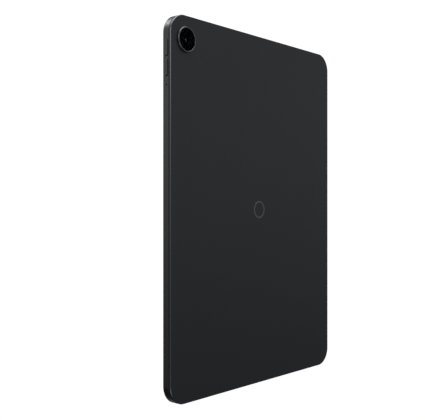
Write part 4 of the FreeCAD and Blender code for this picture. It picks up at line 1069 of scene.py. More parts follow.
@dataclass
class CameraModule(SubAssembly):
    """The rear camera: ring, window with its black print, baffle, and the barrel that focuses."""

    ring_radius: ClassVar[float] = 8.5
    flange_radius: float = 9.4
    bore_radius: float = 6.2
    chamfer: float = 0.3
    window_radius: float = 7.5
    window_play: float = 0.02
    window_chamfer: float = 0.12
    print_radius: float = 1.8
    print_thickness: float = 0.012
    print_gap: float = 0.002
    lip_break: float = 0.1
    barrel_radius: float = 3.1
    barrel_bore: float = 2.1
    barrel_floor: float = 0.6
    light_traps: tuple[tuple[float, float], ...] = (        # radius and drop from the barrel's front
        (2.85, 0.0), (2.8, 0.04), (2.6, 0.04), (2.55, 0.08), (2.35, 0.08))
    lens_seat: tuple[float, float, float] = (2.3, 0.03, 0.06)       # radius, and drops from the lens's crown
    light_path: float = 1.5
    lens_edge: float = 0.15
    dome_steps: int = 10

    def build(self) -> None:
        """Makes the ring, window, print, barrel and lens, and dresses what stands behind them."""
        self.keep(self.ring(), "ring_metal", ["camera_ring"])
        self.keep(self.window(), "lens_glass", ["camera_window"])
        self.keep(self.window_print(), "border_ink")
        self.keep(self.barrel(), "moulded_black", ["lens_barrel"], "focus_group")
        self.keep(self.lens(), "lens_coated", ["front_lens"], "focus_group")
        self.dress("camera_baffle", BAFFLE_BLACK)
        self.dress("camera_body", MOULDED_BLACK)
        self.dress("camera_sensor", CHIP_RESIN)
        self.dress("camera_flex", FLEX_FILM)

    def ring(self) -> bpy.types.Object:
        """Makes the turned ring with its flange, smooth lip and the window's seat.

        Returns:
            The ring.
        """
        low, high = box_mm("camera_ring")
        seat = box_mm("camera_window")[0].y
        flange_top = COVER_HIGH.y - Housing.shell_wall
        seat_radius = self.window_radius + self.window_play
        profile = (
            (self.flange_radius, low.y), (self.flange_radius, flange_top), (self.ring_radius, flange_top),
            (self.ring_radius, high.y - self.chamfer), (self.ring_radius - self.chamfer, high.y),
            (seat_radius + self.lip_break, high.y), (seat_radius, high.y - self.lip_break),
            (seat_radius, seat), (self.bore_radius, seat), (self.bore_radius, low.y),
        )
        lip = (3, 4, 5)
        return turned("camera_ring_turned", (low + high) / 2, profile, (RING_METAL, RING_LIP), True, lip)

    def window(self) -> bpy.types.Object:
        """Makes the camera's glass, a hair in front of its seat.

        Returns:
            The window.
        """
        low, high = box_mm("camera_window")
        back = low.y + 2 * self.print_thickness
        profile = (
            (0.0, back), (self.window_radius, back), (self.window_radius, high.y - self.window_chamfer),
            (self.window_radius - self.window_chamfer, high.y), (0.0, high.y),
        )
        return turned("camera_glass", (low + high) / 2, profile, (CAMERA_GLASS,))

    def window_print(self) -> bpy.types.Object:
        """Makes the black print behind the glass, with a clear round over the lens.

        Returns:
            The print.
        """
        low, high = box_mm("camera_window")
        outer, bottom = self.window_radius - self.window_play, low.y + self.print_gap
        top = bottom + self.print_thickness
        profile = ((self.print_radius, bottom), (outer, bottom), (outer, top), (self.print_radius, top))
        return turned("camera_glass_print", (low + high) / 2, profile, (PRINTED_INK,), True)

    def barrel(self) -> bpy.types.Object:
        """Makes the barrel, stepped down to its lens seat like a row of light traps.

        Returns:
            The barrel.
        """
        low, high = box_mm("lens_barrel")
        floor, lens_top = low.y + self.barrel_floor, box_mm("front_lens")[1].y
        seat_radius, seat_front, seat_back = self.lens_seat
        profile = (
            (self.barrel_radius, low.y), (self.barrel_radius, high.y - self.lip_break),
            (self.barrel_radius - self.lip_break, high.y),
            *((radius, high.y - drop) for radius, drop in self.light_traps),
            (seat_radius, lens_top - seat_front), (self.barrel_bore, lens_top - seat_back),
            (self.barrel_bore, floor), (self.light_path, floor), (self.light_path, low.y),
        )
        return turned("lens_barrel_stepped", (low + high) / 2, profile, (BARREL_BLACK,), True)

    def lens(self) -> bpy.types.Object:
        """Makes the front lens, a shallow dome with a ground edge.

        Returns:
            The lens.
        """
        low, high = box_mm("front_lens")
        radius = (high.x - low.x) / 2
        edge_top = low.y + self.lens_edge
        rise = high.y - edge_top
        sphere = (radius ** 2 + rise ** 2) / (2 * rise)
        widest = math.asin(radius / sphere)
        turns = [widest * (1 - step / self.dome_steps) for step in range(self.dome_steps + 1)]
        profile = [(0.0, low.y), (radius, low.y)]
        profile += [(sphere * math.sin(turn), high.y - sphere * (1 - math.cos(turn))) for turn in turns]
        return turned("front_lens_dome", (low + high) / 2, profile, (COATED_LENS,))


@dataclass
class EdgeKeys(SubAssembly):
    """The volume and power keys, with their ears and nubs, and the parts under them."""

    width: ClassVar[float] = 2.1
    gap: ClassVar[float] = 0.3
    ear_reach: ClassVar[float] = 0.8
    ear_depth: ClassVar[float] = 1.25
    keys: ClassVar[tuple[tuple[str, Side, str], ...]] = (
        ("volume_up_key", Side.RIGHT, "volume_up_button"),
        ("volume_down_key", Side.RIGHT, "volume_down_button"),
        ("power_key", Side.TOP, "power_button"),
    )
    ear_play: ClassVar[float] = 0.1
    rim_short: ClassVar[float] = 0.03                       # a slot's cutter ends this far above the ears
    slot_flare: ClassVar[float] = 0.06
    arc_steps: ClassVar[int] = 14
    ear_thickness: float = 0.6
    ear_corner: float = 0.15
    crown_round: float = 0.2
    nub: tuple[float, float, float] = (1.6, 0.7, 0.12)      # length, width, corner
    dome_corner: float = 0.7
    dome_profile: tuple[tuple[float, float], ...] = (       # inset and drop, outside and then inside
        (0.6, 0.0), (0.45, 0.03), (0.25, 0.1), (0.1, 0.21), (0.0, 0.35),
        (0.12, 0.35), (0.2, 0.29), (0.32, 0.21), (0.48, 0.15), (0.6, 0.13),
    )
    dome_pressed: float = 0.25                              # share of its height that a dome keeps

    @classmethod
    def cap(cls, node: str, side: Side) -> RoundedRect:
        """Reads a key's pill-shaped outline from its CAD node.

        Args:
            node: The key's node.
            side: The edge that it sits in.

        Returns:
            The outline along the edge and across it.
        """
        start, end = side.spans(*box_mm(node))[0]
        length = end - start - 2 * cls.ear_reach
        centre = ((start + end) / 2, SIDE_AXIS_Y)
        return RoundedRect(length, cls.width, cls.width / 2, centre, cls.arc_steps)

    @classmethod
    def mouths(cls) -> list[bmesh.types.BMesh]:
        """Makes the cutters for the keys' slots, with a fine broken rim.

        Returns:
            One cutter for each key.
        """
        return [
            opening(side, cls.cap(node, side).grown(cls.gap), cls.ear_depth - cls.rim_short, cls.slot_flare)
            for node, side, _ in cls.keys
        ]

    @classmethod
    def pockets(cls, wall: float) -> list[bmesh.types.BMesh]:
        """Makes the cutters for the rooms where the keys' ears are.

        Args:
            wall: Thickness of the frame's side wall.

        Returns:
            One cutter for each key.
        """
        rooms = []
        for node, side, _ in cls.keys:
            cap = cls.cap(node, side)
            reach, half = cap.length / 2 + cls.ear_reach + cls.ear_play, cls.width / 2 + cls.gap
            middle = cap.centre[0]
            rooms.append(block(
                side, (middle - reach, middle + reach), (SIDE_AXIS_Y - half, SIDE_AXIS_Y + half),
                (cls.ear_depth - PAST_WALL, wall + PAST_WALL)))
        return rooms

    def key(self, node: str, side: Side) -> bpy.types.Object:
        """Makes one key: rounded crown, flank, ears and nub.

        Args:
            node: Its CAD node.
            side: The edge that it sits in.

        Returns:
            The key.
        """
        cap = self.cap(node, side)
        crown, foot = side.spans(*box_mm(node))[1]
        ears = RoundedRect(
            cap.length + 2 * self.ear_reach, self.width, self.ear_corner, cap.centre, self.arc_steps)
        nub = RoundedRect(*self.nub, cap.centre, self.arc_steps)
        step = self.ear_depth + self.ear_thickness
        sections = [Section(cap.grown(-inset), crown + drop) for inset, drop in fillet(self.crown_round, 6)]
        sections[-1] = Section(cap, crown + self.crown_round, 1)
        sections += [
            Section(cap, self.ear_depth, 1), Section(ears, self.ear_depth, 1),
            Section(ears, step, 1), Section(nub, step, 1), Section(nub, foot, 1),
        ]
        # The flank, ears and nub take the dark wall finish: painted shade for the gap round the key.
        finishes = (KEY_METAL, SHADED_MILLED_WALL)
        return new_piece(node.replace("_key", "_key_cap"), loft_mesh(sections, side.place), finishes)

    def dome(self, node: str, side: Side) -> bpy.types.Object:
        """Makes the snap dome under one key: an oblong cap of thin spring steel.

        Args:
            node: Its CAD node.
            side: The edge that its key sits in.

        Returns:
            The dome.
        """
        low, high = box_mm(node)
        (start, end), (crown, _) = side.spans(low, high)
        centre = ((start + end) / 2, (low.y + high.y) / 2)
        outline = RoundedRect(end - start, high.y - low.y, self.dome_corner, centre)
        sections = [Section(outline.grown(-inset), crown + drop) for inset, drop in self.dome_profile]
        return new_piece(f"{node}_snap", loft_mesh(sections, side.place), (SPRING_STEEL,))

    def build(self) -> None:
        """Makes the keys on their own bodies and the snap domes under them, and dresses the rest."""
        for node, side, body in self.keys:
            self.keep(self.key(node, side), "key_metal", [node], body)
            dome_node = node.replace("_key", "_dome")
            dome = self.keep(self.dome(dome_node, side), "spring_steel", [dome_node])
            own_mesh(dome)
        for node, finish in (
            ("switch_bases", MOULDED_BLACK), ("microphones", MIC_BOOT), ("volume_flex", FLEX_FILM),
            ("power_flex", FLEX_FILM),
        ):
            self.dress(node, finish)


@dataclass
class CardTray(SubAssembly):
    """The memory card tray in the left edge, which slides out, with its socket and eject lever."""

    head: ClassVar[tuple[float, float, float]] = (17.0, 2.1, 1.6)      # length, width, thickness
    play: ClassVar[float] = 0.1
    slot: ClassVar[tuple[float, float]] = (12.6, 0.9)
    pin_radius: ClassVar[float] = 0.45
    pin_offset: ClassVar[float] = -7.3
    seat_flare: ClassVar[float] = 0.05
    crown_round: float = 0.15
    frame_corner: float = 0.12
    nose: tuple[float, float] = (0.1, 0.15)                            # inset and length of its bevel
    pin_flare: float = 0.08
    pocket: tuple[float, float, float] = (11.2, 15.2, 0.7)             # width, length, depth
    end_bar: float = 1.2
    ledge: float = 1.2

    @classmethod
    def head_outline(cls, grow: float = 0.0) -> RoundedRect:
        """Gives the outline of the tray's head, or of the seat round it.

        Args:
            grow: How far the outline stands off the head.

        Returns:
            The outline along the edge and across it.
        """
        length, width, _ = cls.head
        centre = (middle_mm("card_tray").z, SIDE_AXIS_Y)
        return RoundedRect(length, width, width / 2, centre, EdgeKeys.arc_steps).grown(grow)

    @classmethod
    def mouths(cls) -> list[bmesh.types.BMesh]:
        """Returns the cutter for the seat of the tray's head."""
        return [opening(Side.LEFT, cls.head_outline(cls.play), cls.head[2] + cls.play, cls.seat_flare)]

    @classmethod
    def pin_hole(cls) -> Circle:
        """Returns the outline of the eject pin's hole, along the edge and across it."""
        return Circle(cls.pin_radius, (middle_mm("card_tray").z + cls.pin_offset, SIDE_AXIS_Y), FINE_CIRCLE)

    @classmethod
    def pockets(cls, wall: float) -> list[bmesh.types.BMesh]:
        """Makes the cutters for the tray's slot and the eject rod's hole.

        Args:
            wall: Thickness of the frame's side wall.

        Returns:
            The two cutters.
        """
        middle = middle_mm("card_tray").z
        reach, half = cls.slot[0] / 2 + cls.play, cls.slot[1] / 2 + cls.play
        near, far = cls.head[2], wall + PAST_WALL
        along, across = (middle - reach, middle + reach), (SIDE_AXIS_Y - half, SIDE_AXIS_Y + half)
        return [
            block(Side.LEFT, along, across, (near, far)),
            opening(Side.LEFT, cls.pin_hole(), far, start=near),
        ]

    def tray(self) -> bpy.types.Object:
        """Makes the tray: head with its pin hole, and an open frame with a ledge for the card.

        Returns:
            The tray.
        """
        head = self.head_outline()
        middle = head.centre[0]
        low, high = box_mm("card_tray")
        length = high.x - low.x
        inset, bevel = self.nose
        body = RoundedRect(*self.slot, self.frame_corner, head.centre, head.steps)
        sections = [Section(head.grown(-inwards), drop) for inwards, drop in fillet(self.crown_round, 4)]
        sections += [
            Section(head, self.head[2]), Section(body, self.head[2]),
            Section(body, length - bevel), Section(body.grown(-inset), length),
        ]
        # The walls of the pin hole and the card pocket take the dark wall finish: painted shade.
        finishes = (TRAY_METAL, CUT_EDGE, SHADED_MILLED_WALL)
        tray = new_piece("card_tray_cast", loft_mesh(sections, Side.LEFT.place), finishes)
        width, card_length, card_depth = self.pocket
        top = SIDE_AXIS_Y + self.slot[1] / 2
        end = length - self.end_bar
        start = end - card_length
        half, inner = width / 2, width / 2 - self.ledge
        carve(tray, [
            opening(Side.LEFT, self.pin_hole(), self.head[2] + OUTSIDE, self.pin_flare),
            block(Side.LEFT, (middle - half, middle + half), (top - card_depth, top + OUTSIDE), (start, end)),
        ], finishes)
        carve(tray, [block(
            Side.LEFT, (middle - inner, middle + inner), (top - 2 * self.slot[1], top),
            (start + self.ledge, end - self.ledge))], finishes)
        return tray

    def build(self) -> None:
        """Makes the tray on its sliding body, and dresses the socket and the lever."""
        self.keep(self.tray(), "tray_metal", ["card_tray"], "sliding_tray")
        self.dress("card_socket", PRESSED_STEEL)
        self.dress("eject_lever", PRESSED_STEEL)


# ---------------------------------------------------------------- rows of like parts
def new_tree(name: str, inputs: Sequence[tuple[str, str]]) -> tuple[bpy.types.NodeTree, bpy.types.Node]:
    """Starts a Geometry Nodes tree with named inputs and a geometry output.

    Args:
        name: The tree's name.
        inputs: Name and socket type of each input after the geometry.

    Returns:
        The tree and its group input node.
    """
    tree = bpy.data.node_groups.new(name, "GeometryNodeTree")
    tree.interface.new_socket("Geometry", in_out="INPUT", socket_type="NodeSocketGeometry")
    for label, kind in inputs:
        tree.interface.new_socket(label, in_out="INPUT", socket_type=kind)
    tree.interface.new_socket("Geometry", in_out="OUTPUT", socket_type="NodeSocketGeometry")
    return tree, add_node(tree, "NodeGroupInput")


def end_tree(tree: bpy.types.NodeTree, instances: bpy.types.NodeSocket, finish: bpy.types.NodeSocket) -> None:
    """Ends a tree: real geometry, with its finish.

    Args:
        tree: The tree.
        instances: What it made.
        finish: The input that names the material.
    """
    real = add_node(tree, "GeometryNodeRealizeInstances", None, {"Geometry": instances})
    dressed = add_node(
        tree, "GeometryNodeSetMaterial", None, {"Geometry": real.outputs["Geometry"], "Material": finish})
    add_node(tree, "NodeGroupOutput", None, {"Geometry": dressed.outputs["Geometry"]})


def spots_tree() -> bpy.types.NodeTree:
    """Builds a tree that puts a copy of one part on each point, turned about Y by chance.

    Returns:
        The Geometry Nodes tree.
    """
    tree, given = new_tree("parts_on_spots", (
        ("Part", "NodeSocketObject"), ("Finish", "NodeSocketMaterial"),
        ("Turn", "NodeSocketFloat"), ("Seed", "NodeSocketInt"),
    ))
    part = add_node(tree, "GeometryNodeObjectInfo", None, {"Object": given.outputs["Part"]})
    most = add_node(tree, "ShaderNodeCombineXYZ", None, {"Y": given.outputs["Turn"]})
    turn = add_node(
        tree, "FunctionNodeRandomValue", {"data_type": "FLOAT_VECTOR", 0: (0.0, 0.0, 0.0)},
        {1: most.outputs["Vector"], "Seed": given.outputs["Seed"]})
    copies = add_node(tree, "GeometryNodeInstanceOnPoints", None, {
        "Points": given.outputs["Geometry"], "Instance": part.outputs["Geometry"],
        "Rotation": turn.outputs["Value"],
    })
    end_tree(tree, copies.outputs["Instances"], given.outputs["Finish"])
    return tree


def weave_tree() -> bpy.types.NodeTree:
    """Builds a tree that weaves a strip of wires, over and under, round each point.

    Wires run along X and Y. Each rises and falls by one product of a sine and a cosine, with
    opposite signs for the two directions, so where one is up the other is down.

    Returns:
        The Geometry Nodes tree.
    """
    tree, given = new_tree("woven_strips", (
        ("Pitch", "NodeSocketFloat"), ("Wire", "NodeSocketFloat"), ("Swing", "NodeSocketFloat"),
        ("Columns", "NodeSocketInt"), ("Rows", "NodeSocketInt"), ("Finish", "NodeSocketMaterial"),
    ))
    pitch = given.outputs["Pitch"]
    half_wire = add_node(
        tree, "ShaderNodeMath", {"operation": "MULTIPLY", 1: 0.5}, {0: given.outputs["Wire"]})
    profile = add_node(
        tree, "GeometryNodeCurvePrimitiveCircle", {"Resolution": 4}, {"Radius": half_wire.outputs[0]})
    rate = add_node(tree, "ShaderNodeMath", {"operation": "DIVIDE", 0: math.pi}, {1: pitch})
    both = []
    for axis, across, counted, run, sign in ((0, 1, "Rows", "Columns", 1.0), (1, 0, "Columns", "Rows", -1.0)):
        reach = add_node(
            tree, "ShaderNodeMath", {"operation": "MULTIPLY"},
            {0: pitch, 1: given.outputs[run]})
        half = add_node(tree, "ShaderNodeMath", {"operation": "MULTIPLY", 1: 0.5}, {0: reach.outputs[0]})
        minus = add_node(tree, "ShaderNodeMath", {"operation": "MULTIPLY", 1: -1.0}, {0: half.outputs[0]})
        start = add_node(tree, "ShaderNodeCombineXYZ", None, {axis: minus.outputs[0]})
        end = add_node(tree, "ShaderNodeCombineXYZ", None, {axis: half.outputs[0]})
        wire = add_node(
            tree, "GeometryNodeCurvePrimitiveLine", None,
            {"Start": start.outputs["Vector"], "End": end.outputs["Vector"]})
        points = add_node(
            tree, "ShaderNodeMath", {"operation": "MULTIPLY_ADD", 1: 3.0, 2: 1.0}, {0: given.outputs[run]})
        divided = add_node(
            tree, "GeometryNodeResampleCurve", None,
            {"Curve": wire.outputs["Curve"], "Count": points.outputs[0]})
        others = add_node(
            tree, "ShaderNodeMath", {"operation": "SUBTRACT", 1: 1.0}, {0: given.outputs[counted]})
        spread = add_node(
            tree, "ShaderNodeMath", {"operation": "MULTIPLY"}, {0: pitch, 1: others.outputs[0]})
        edge = add_node(tree, "ShaderNodeMath", {"operation": "MULTIPLY", 1: -0.5}, {0: spread.outputs[0]})
        first = add_node(tree, "ShaderNodeCombineXYZ", None, {across: edge.outputs[0]})
        step = add_node(tree, "ShaderNodeCombineXYZ", None, {across: pitch})
        row = add_node(tree, "GeometryNodeMeshLine", None, {
            "Count": given.outputs[counted], "Start Location": first.outputs["Vector"],
            "Offset": step.outputs["Vector"]})
        laid = add_node(
            tree, "GeometryNodeInstanceOnPoints", None,
            {"Points": row.outputs["Mesh"], "Instance": divided.outputs["Curve"]})
        wires = add_node(tree, "GeometryNodeRealizeInstances", None, {"Geometry": laid.outputs["Instances"]})
        place = add_node(
            tree, "ShaderNodeSeparateXYZ", None,
            {"Vector": add_node(tree, "GeometryNodeInputPosition").outputs["Position"]})
        swings = []
        for operation, source in (("SINE", "X"), ("COSINE", "Y")):
            phase = add_node(
                tree, "ShaderNodeMath", {"operation": "MULTIPLY"},
                {0: place.outputs[source], 1: rate.outputs[0]})
            swings.append(add_node(tree, "ShaderNodeMath", {"operation": operation}, {0: phase.outputs[0]}))
        wave = add_node(
            tree, "ShaderNodeMath", {"operation": "MULTIPLY"},
            {0: swings[0].outputs[0], 1: swings[1].outputs[0]})
        high = add_node(
            tree, "ShaderNodeMath", {"operation": "MULTIPLY"},
            {0: wave.outputs[0], 1: given.outputs["Swing"]})
        signed = add_node(tree, "ShaderNodeMath", {"operation": "MULTIPLY", 1: sign}, {0: high.outputs[0]})
        offset = add_node(tree, "ShaderNodeCombineXYZ", None, {"Z": signed.outputs[0]})
        bent = add_node(
            tree, "GeometryNodeSetPosition", None,
            {"Geometry": wires.outputs["Geometry"], "Offset": offset.outputs["Vector"]})
        both.append(add_node(
            tree, "GeometryNodeCurveToMesh", {"Fill Caps": True},
            {"Curve": bent.outputs["Geometry"], "Profile Curve": profile.outputs["Curve"]}))
    strip = add_node(tree, "GeometryNodeJoinGeometry")
    for wires in both:
        tree.links.new(wires.outputs["Mesh"], strip.inputs["Geometry"])
    strips = add_node(
        tree, "GeometryNodeInstanceOnPoints", None,
        {"Points": given.outputs["Geometry"], "Instance": strip.outputs["Geometry"]})
    end_tree(tree, strips.outputs["Instances"], given.outputs["Finish"])
    return tree


def grow(
    name: str, spots: Sequence[Vector], tree: bpy.types.NodeTree, values: dict[str, Any]
) -> bpy.types.Object:
    """Runs a tree on a set of points and keeps its result as one plain mesh.

    Args:
        name: The piece's name.
        spots: The points, in millimetres.
        tree: The Geometry Nodes tree.
        values: The tree's inputs by name.

    Returns:
        The piece, shaded smooth with its edges sharp.
    """
    mesh = bpy.data.meshes.new(name)
    mesh.from_pydata([spot * MM for spot in spots], [], [])
    piece = bpy.data.objects.new(name, mesh)
    bpy.context.scene.collection.objects.link(piece)
    nodes = piece.modifiers.new("rows", "NODES")
    nodes.node_group = tree
    for item in tree.interface.items_tree:
        if item.in_out == "INPUT" and item.name in values:
            nodes[item.identifier] = values[item.name]
    settle(piece)
    soften(piece)
    return piece


@dataclass
class SpeakerGrilles(SubAssembly):
    """Four rows of sound slots in the short edges, each with a woven mesh strip behind it."""

    slot_size: ClassVar[tuple[float, float]] = (3.0, 1.1)
    slot_pitch: ClassVar[float] = 4.2
    slot_count: ClassVar[int] = 7
    slot_flare: ClassVar[float] = 0.1
    room_play: ClassVar[float] = 0.1
    pitch: float = 0.3          # the real mesh has ten wires to a millimetre; this is coarse enough to show
    wire: float = 0.09
    swing: float = 0.048
    columns: int = 96
    rows: int = 5
    rim_hole: tuple[float, float] = (29.3, 1.36)

    @staticmethod
    def strips() -> list[tuple[Side, Vector, Vector]]:
        """Finds the mesh strips.

        Returns:
            Each strip's edge, and the lowest and highest corner of its box in millimetres.
        """
        middle = BODY_HIGH.z / 2
        return [
            (Side.TOP if low.z > middle else Side.BOTTOM, low, high)
            for low, high in islands_mm("speaker_meshes")
        ]

    @classmethod
    def rim_outlines(cls) -> list[tuple[Side, RoundedRect, tuple[float, float]]]:
        """Measures the strips against their edges.

        Returns:
            Each strip's edge, its pill-shaped outline, and its nearest and farthest depth.
        """
        found = []
        for side, low, high in cls.strips():
            width = high.y - low.y
            pill = RoundedRect(high.x - low.x, width, width / 2, ((low.x + high.x) / 2, SIDE_AXIS_Y))
            found.append((side, pill, side.spans(low, high)[1]))
        return found

    @classmethod
    def slots(cls, depth: float) -> list[bmesh.types.BMesh]:
        """Makes the cutters for the sound slots, with a small bright countersink each.

        Args:
            depth: How deep they go.

        Returns:
            One cutter for each slot.
        """
        length, width = cls.slot_size
        cutters = []
        for side, low, high in cls.strips():
            first = (low.x + high.x) / 2 - cls.slot_pitch * (cls.slot_count - 1) / 2
            for index in range(cls.slot_count):
                centre = (first + index * cls.slot_pitch, SIDE_AXIS_Y)
                slot = RoundedRect(length, width, width / 2, centre)
                cutters.append(opening(side, slot, depth, cls.slot_flare))
        return cutters

    @classmethod
    def pockets(cls, wall: float) -> list[bmesh.types.BMesh]:
        """Makes the cutters for the rooms that the mesh strips lie in.

        Args:
            wall: Thickness of the frame's side wall.

        Returns:
            One cutter for each strip.
        """
        return [
            opening(side, pill.grown(cls.room_play), wall + PAST_WALL, start=near)
            for side, pill, (near, _) in cls.rim_outlines()
        ]

    def rims(self) -> bpy.types.Object:
        """Makes the flat stamped rims that the mesh is welded into.

        Returns:
            The four rims as one piece.
        """
        rings = []
        for side, outer, (near, far) in self.rim_outlines():
            inner = RoundedRect(*self.rim_hole, self.rim_hole[1] / 2, outer.centre)
            sections = [Section(outer, near), Section(outer, far), Section(inner, far), Section(inner, near)]
            rings.append(loft_mesh(sections, side.place, loop=True))
        return new_piece("mesh_rims", joined(rings), (PRESSED_STEEL,))

    def build(self) -> None:
        """Weaves the strips, makes their rims, and dresses the speakers behind them."""
        values = {
            "Pitch": self.pitch * MM, "Wire": self.wire * MM, "Swing": self.swing * MM,
            "Columns": self.columns, "Rows": self.rows, "Finish": MESH_WIRE.material(),
        }
        spots = [(low + high) / 2 for _, low, high in self.strips()]
        self.keep(grow("woven_meshes", spots, weave_tree(), values), "speaker_mesh", ["speaker_meshes"])
        self.keep(self.rims(), "speaker_mesh", ["speaker_meshes"])
        self.dress("speaker_boxes", MOULDED_BLACK)
        self.dress("speaker_drivers", PRESSED_STEEL)


@dataclass
class UsbPort(SubAssembly):
    """The USB-C receptacle in the bottom edge: shell, tongue and two rows of contacts."""

    mouth: ClassVar[tuple[float, float]] = (8.6, 2.8)
    flare: ClassVar[float] = 0.25
    inside: ClassVar[tuple[float, float]] = (8.34, 2.56)
    wall: ClassVar[float] = 0.3
    seat_play: ClassVar[float] = 0.05
    seat_end: ClassVar[float] = 10.0
    arc_steps: ClassVar[int] = 12
    back: float = 0.4
    outer_lip: tuple[tuple[float, float], ...] = ((0.0, 0.12), (-0.04, 0.03), (-0.12, 0.0))    # growth, depth
    inner_lip: tuple[tuple[float, float], ...] = ((0.08, 0.0), (0.02, 0.03), (0.0, 0.1))
    tongue: tuple[float, float, float] = (6.69, 0.7, 0.1)       # length, width, corner
    tip: tuple[float, float] = (0.08, 0.12)                     # inset and length of its bevel
    root: tuple[float, float] = (8.24, 2.46)
    root_length: float = 1.6
    contact_width: float = 0.25
    contact_height: float = 0.06
    contact_bevel: tuple[float, float] = (0.02, 0.05)
    contact_rows: int = 12
    contact_pitch: float = 0.5

    @classmethod
    def pill(cls, size: tuple[float, float]) -> RoundedRect:
        """Returns a pill-shaped outline round the port's axis."""
        centre = (middle_mm("port_shell").x, SIDE_AXIS_Y)
        return RoundedRect(size[0], size[1], size[1] / 2, centre, cls.arc_steps)

    @classmethod
    def mouths(cls) -> list[bmesh.types.BMesh]:
        """Returns the cutter for the flared mouth."""
        start = box_mm("port_shell")[0].z
        return [opening(Side.BOTTOM, cls.pill(cls.mouth), start + cls.seat_play, cls.flare)]

    @classmethod
    def pockets(cls) -> list[bmesh.types.BMesh]:
        """Makes the cutter for the receptacle's seat.

        Returns:
            A list of one cutter.
        """
        start = box_mm("port_shell")[0].z - cls.seat_play
        seat = cls.pill(cls.inside).grown(cls.wall + cls.seat_play)
        return [opening(Side.BOTTOM, seat, cls.seat_end, start=start)]

    def shell(self) -> bpy.types.Object:
        """Makes the drawn shell, with its front lip rolled.

        Returns:
            The shell.
        """
        low, high = box_mm("port_shell")
        inner = self.pill(self.inside)
        outer = inner.grown(self.wall)
        sections = [Section(outer, high.z)]
        sections += [Section(outer.grown(growth), low.z + depth) for growth, depth in self.outer_lip]
        sections += [Section(inner.grown(growth), low.z + depth) for growth, depth in self.inner_lip]
        sections.append(Section(inner, high.z - self.back))
        return new_piece("port_shell_drawn", loft_mesh(sections, Side.BOTTOM.place), (PRESSED_STEEL,))

    def tongue_piece(self) -> bpy.types.Object:
        """Makes the tongue with its bevelled tip and its root block.

        Returns:
            The tongue.
        """
        low, high = box_mm("port_tongue")
        centre = ((low.x + high.x) / 2, SIDE_AXIS_Y)
        tongue = RoundedRect(*self.tongue, centre, self.arc_steps)
        root = RoundedRect(*self.root, self.root[1] / 2, centre, self.arc_steps)
        step = high.z - self.root_length
        inset, bevel = self.tip
        sections = [
            Section(tongue.grown(-inset), low.z), Section(tongue, low.z + bevel), Section(tongue, step),
            Section(root, step), Section(root, high.z),
        ]
        return new_piece("port_tongue_moulded", loft_mesh(sections, Side.BOTTOM.place), (MOULDED_BLACK,))

    def contacts(self) -> bpy.types.Object:
        """Makes the contacts: one bevelled leaf, repeated along both faces of the tongue.

        Returns:
            The contacts as one piece.
        """
        low, high = box_mm("port_contacts")
        inset, bevel = self.contact_bevel
        leaf = RoundedRect(self.contact_width, self.contact_height, inset, (0.0, 0.0), 1)
        reach = (high.z - low.z) / 2
        sections = [
            Section(leaf.grown(-inset), -reach), Section(leaf, bevel - reach),
            Section(leaf, reach - bevel), Section(leaf.grown(-inset), reach),
        ]
        template = new_piece(
            "contact_leaf", loft_mesh(sections, lambda along, across, depth: (along, across, depth)),
            (CONTACT_GOLD,))
        first = (low.x + high.x) / 2 - self.contact_pitch * (self.contact_rows - 1) / 2
        half = self.contact_height / 2
        spots = [
            Vector((first + index * self.contact_pitch, level, (low.z + high.z) / 2))
            for level in (low.y + half, high.y - half) for index in range(self.contact_rows)
        ]
        values = {"Part": template, "Finish": CONTACT_GOLD.material(), "Turn": 0.0, "Seed": 1}
        rows = grow("contact_leaves", spots, spots_tree(), values)
        bpy.data.objects.remove(template)
        return rows

    def build(self) -> None:
        """Makes the shell, the tongue and the contacts."""
        self.keep(self.shell(), "pressed_steel", ["port_shell"])
        self.keep(self.tongue_piece(), "moulded_black", ["port_tongue"])
        self.keep(self.contacts(), "contact_gold", ["port_contacts"])


@dataclass
class DisplayStack(SubAssembly):
    """The display: cover glass with a rounded front edge, and the layers and sensors behind it."""

    glass_inset: float = 0.9
    glass_round: float = 0.3
    clear_of_ink: float = 0.01

    def glass(self) -> bpy.types.Object:
        """Makes the cover glass, its back a hair in front of the ink.

        Returns:
            The glass.
        """
        low, high = box_mm("cover_glass")
        outline = body_outline().grown(-self.glass_inset)
        sections = [
            Section(outline.grown(-inset), low.y + drop) for inset, drop in fillet(self.glass_round)
        ]
        sections.append(Section(outline, high.y - self.clear_of_ink))
        return new_piece("cover_glass_polished", loft_mesh(sections), (COVER_GLASS,))

    def build(self) -> None:
        """Makes the glass and dresses the layers behind it."""
        self.keep(self.glass(), "screen_glass", ["cover_glass"])
        for node, finish in (
            ("ink_border", PRINTED_INK), ("polariser", POLARISER_FILM), ("display_panel", PANEL_CELLS),
            ("backlight_tray", BACKLIGHT_FILMS), ("display_tape", FOAM_TAPE), ("display_flex", FLEX_FILM),
            ("front_camera_body", MOULDED_BLACK), ("front_camera_lens", COATED_LENS),
            ("light_sensor", CHIP_RESIN),
        ):
            self.dress(node, finish)


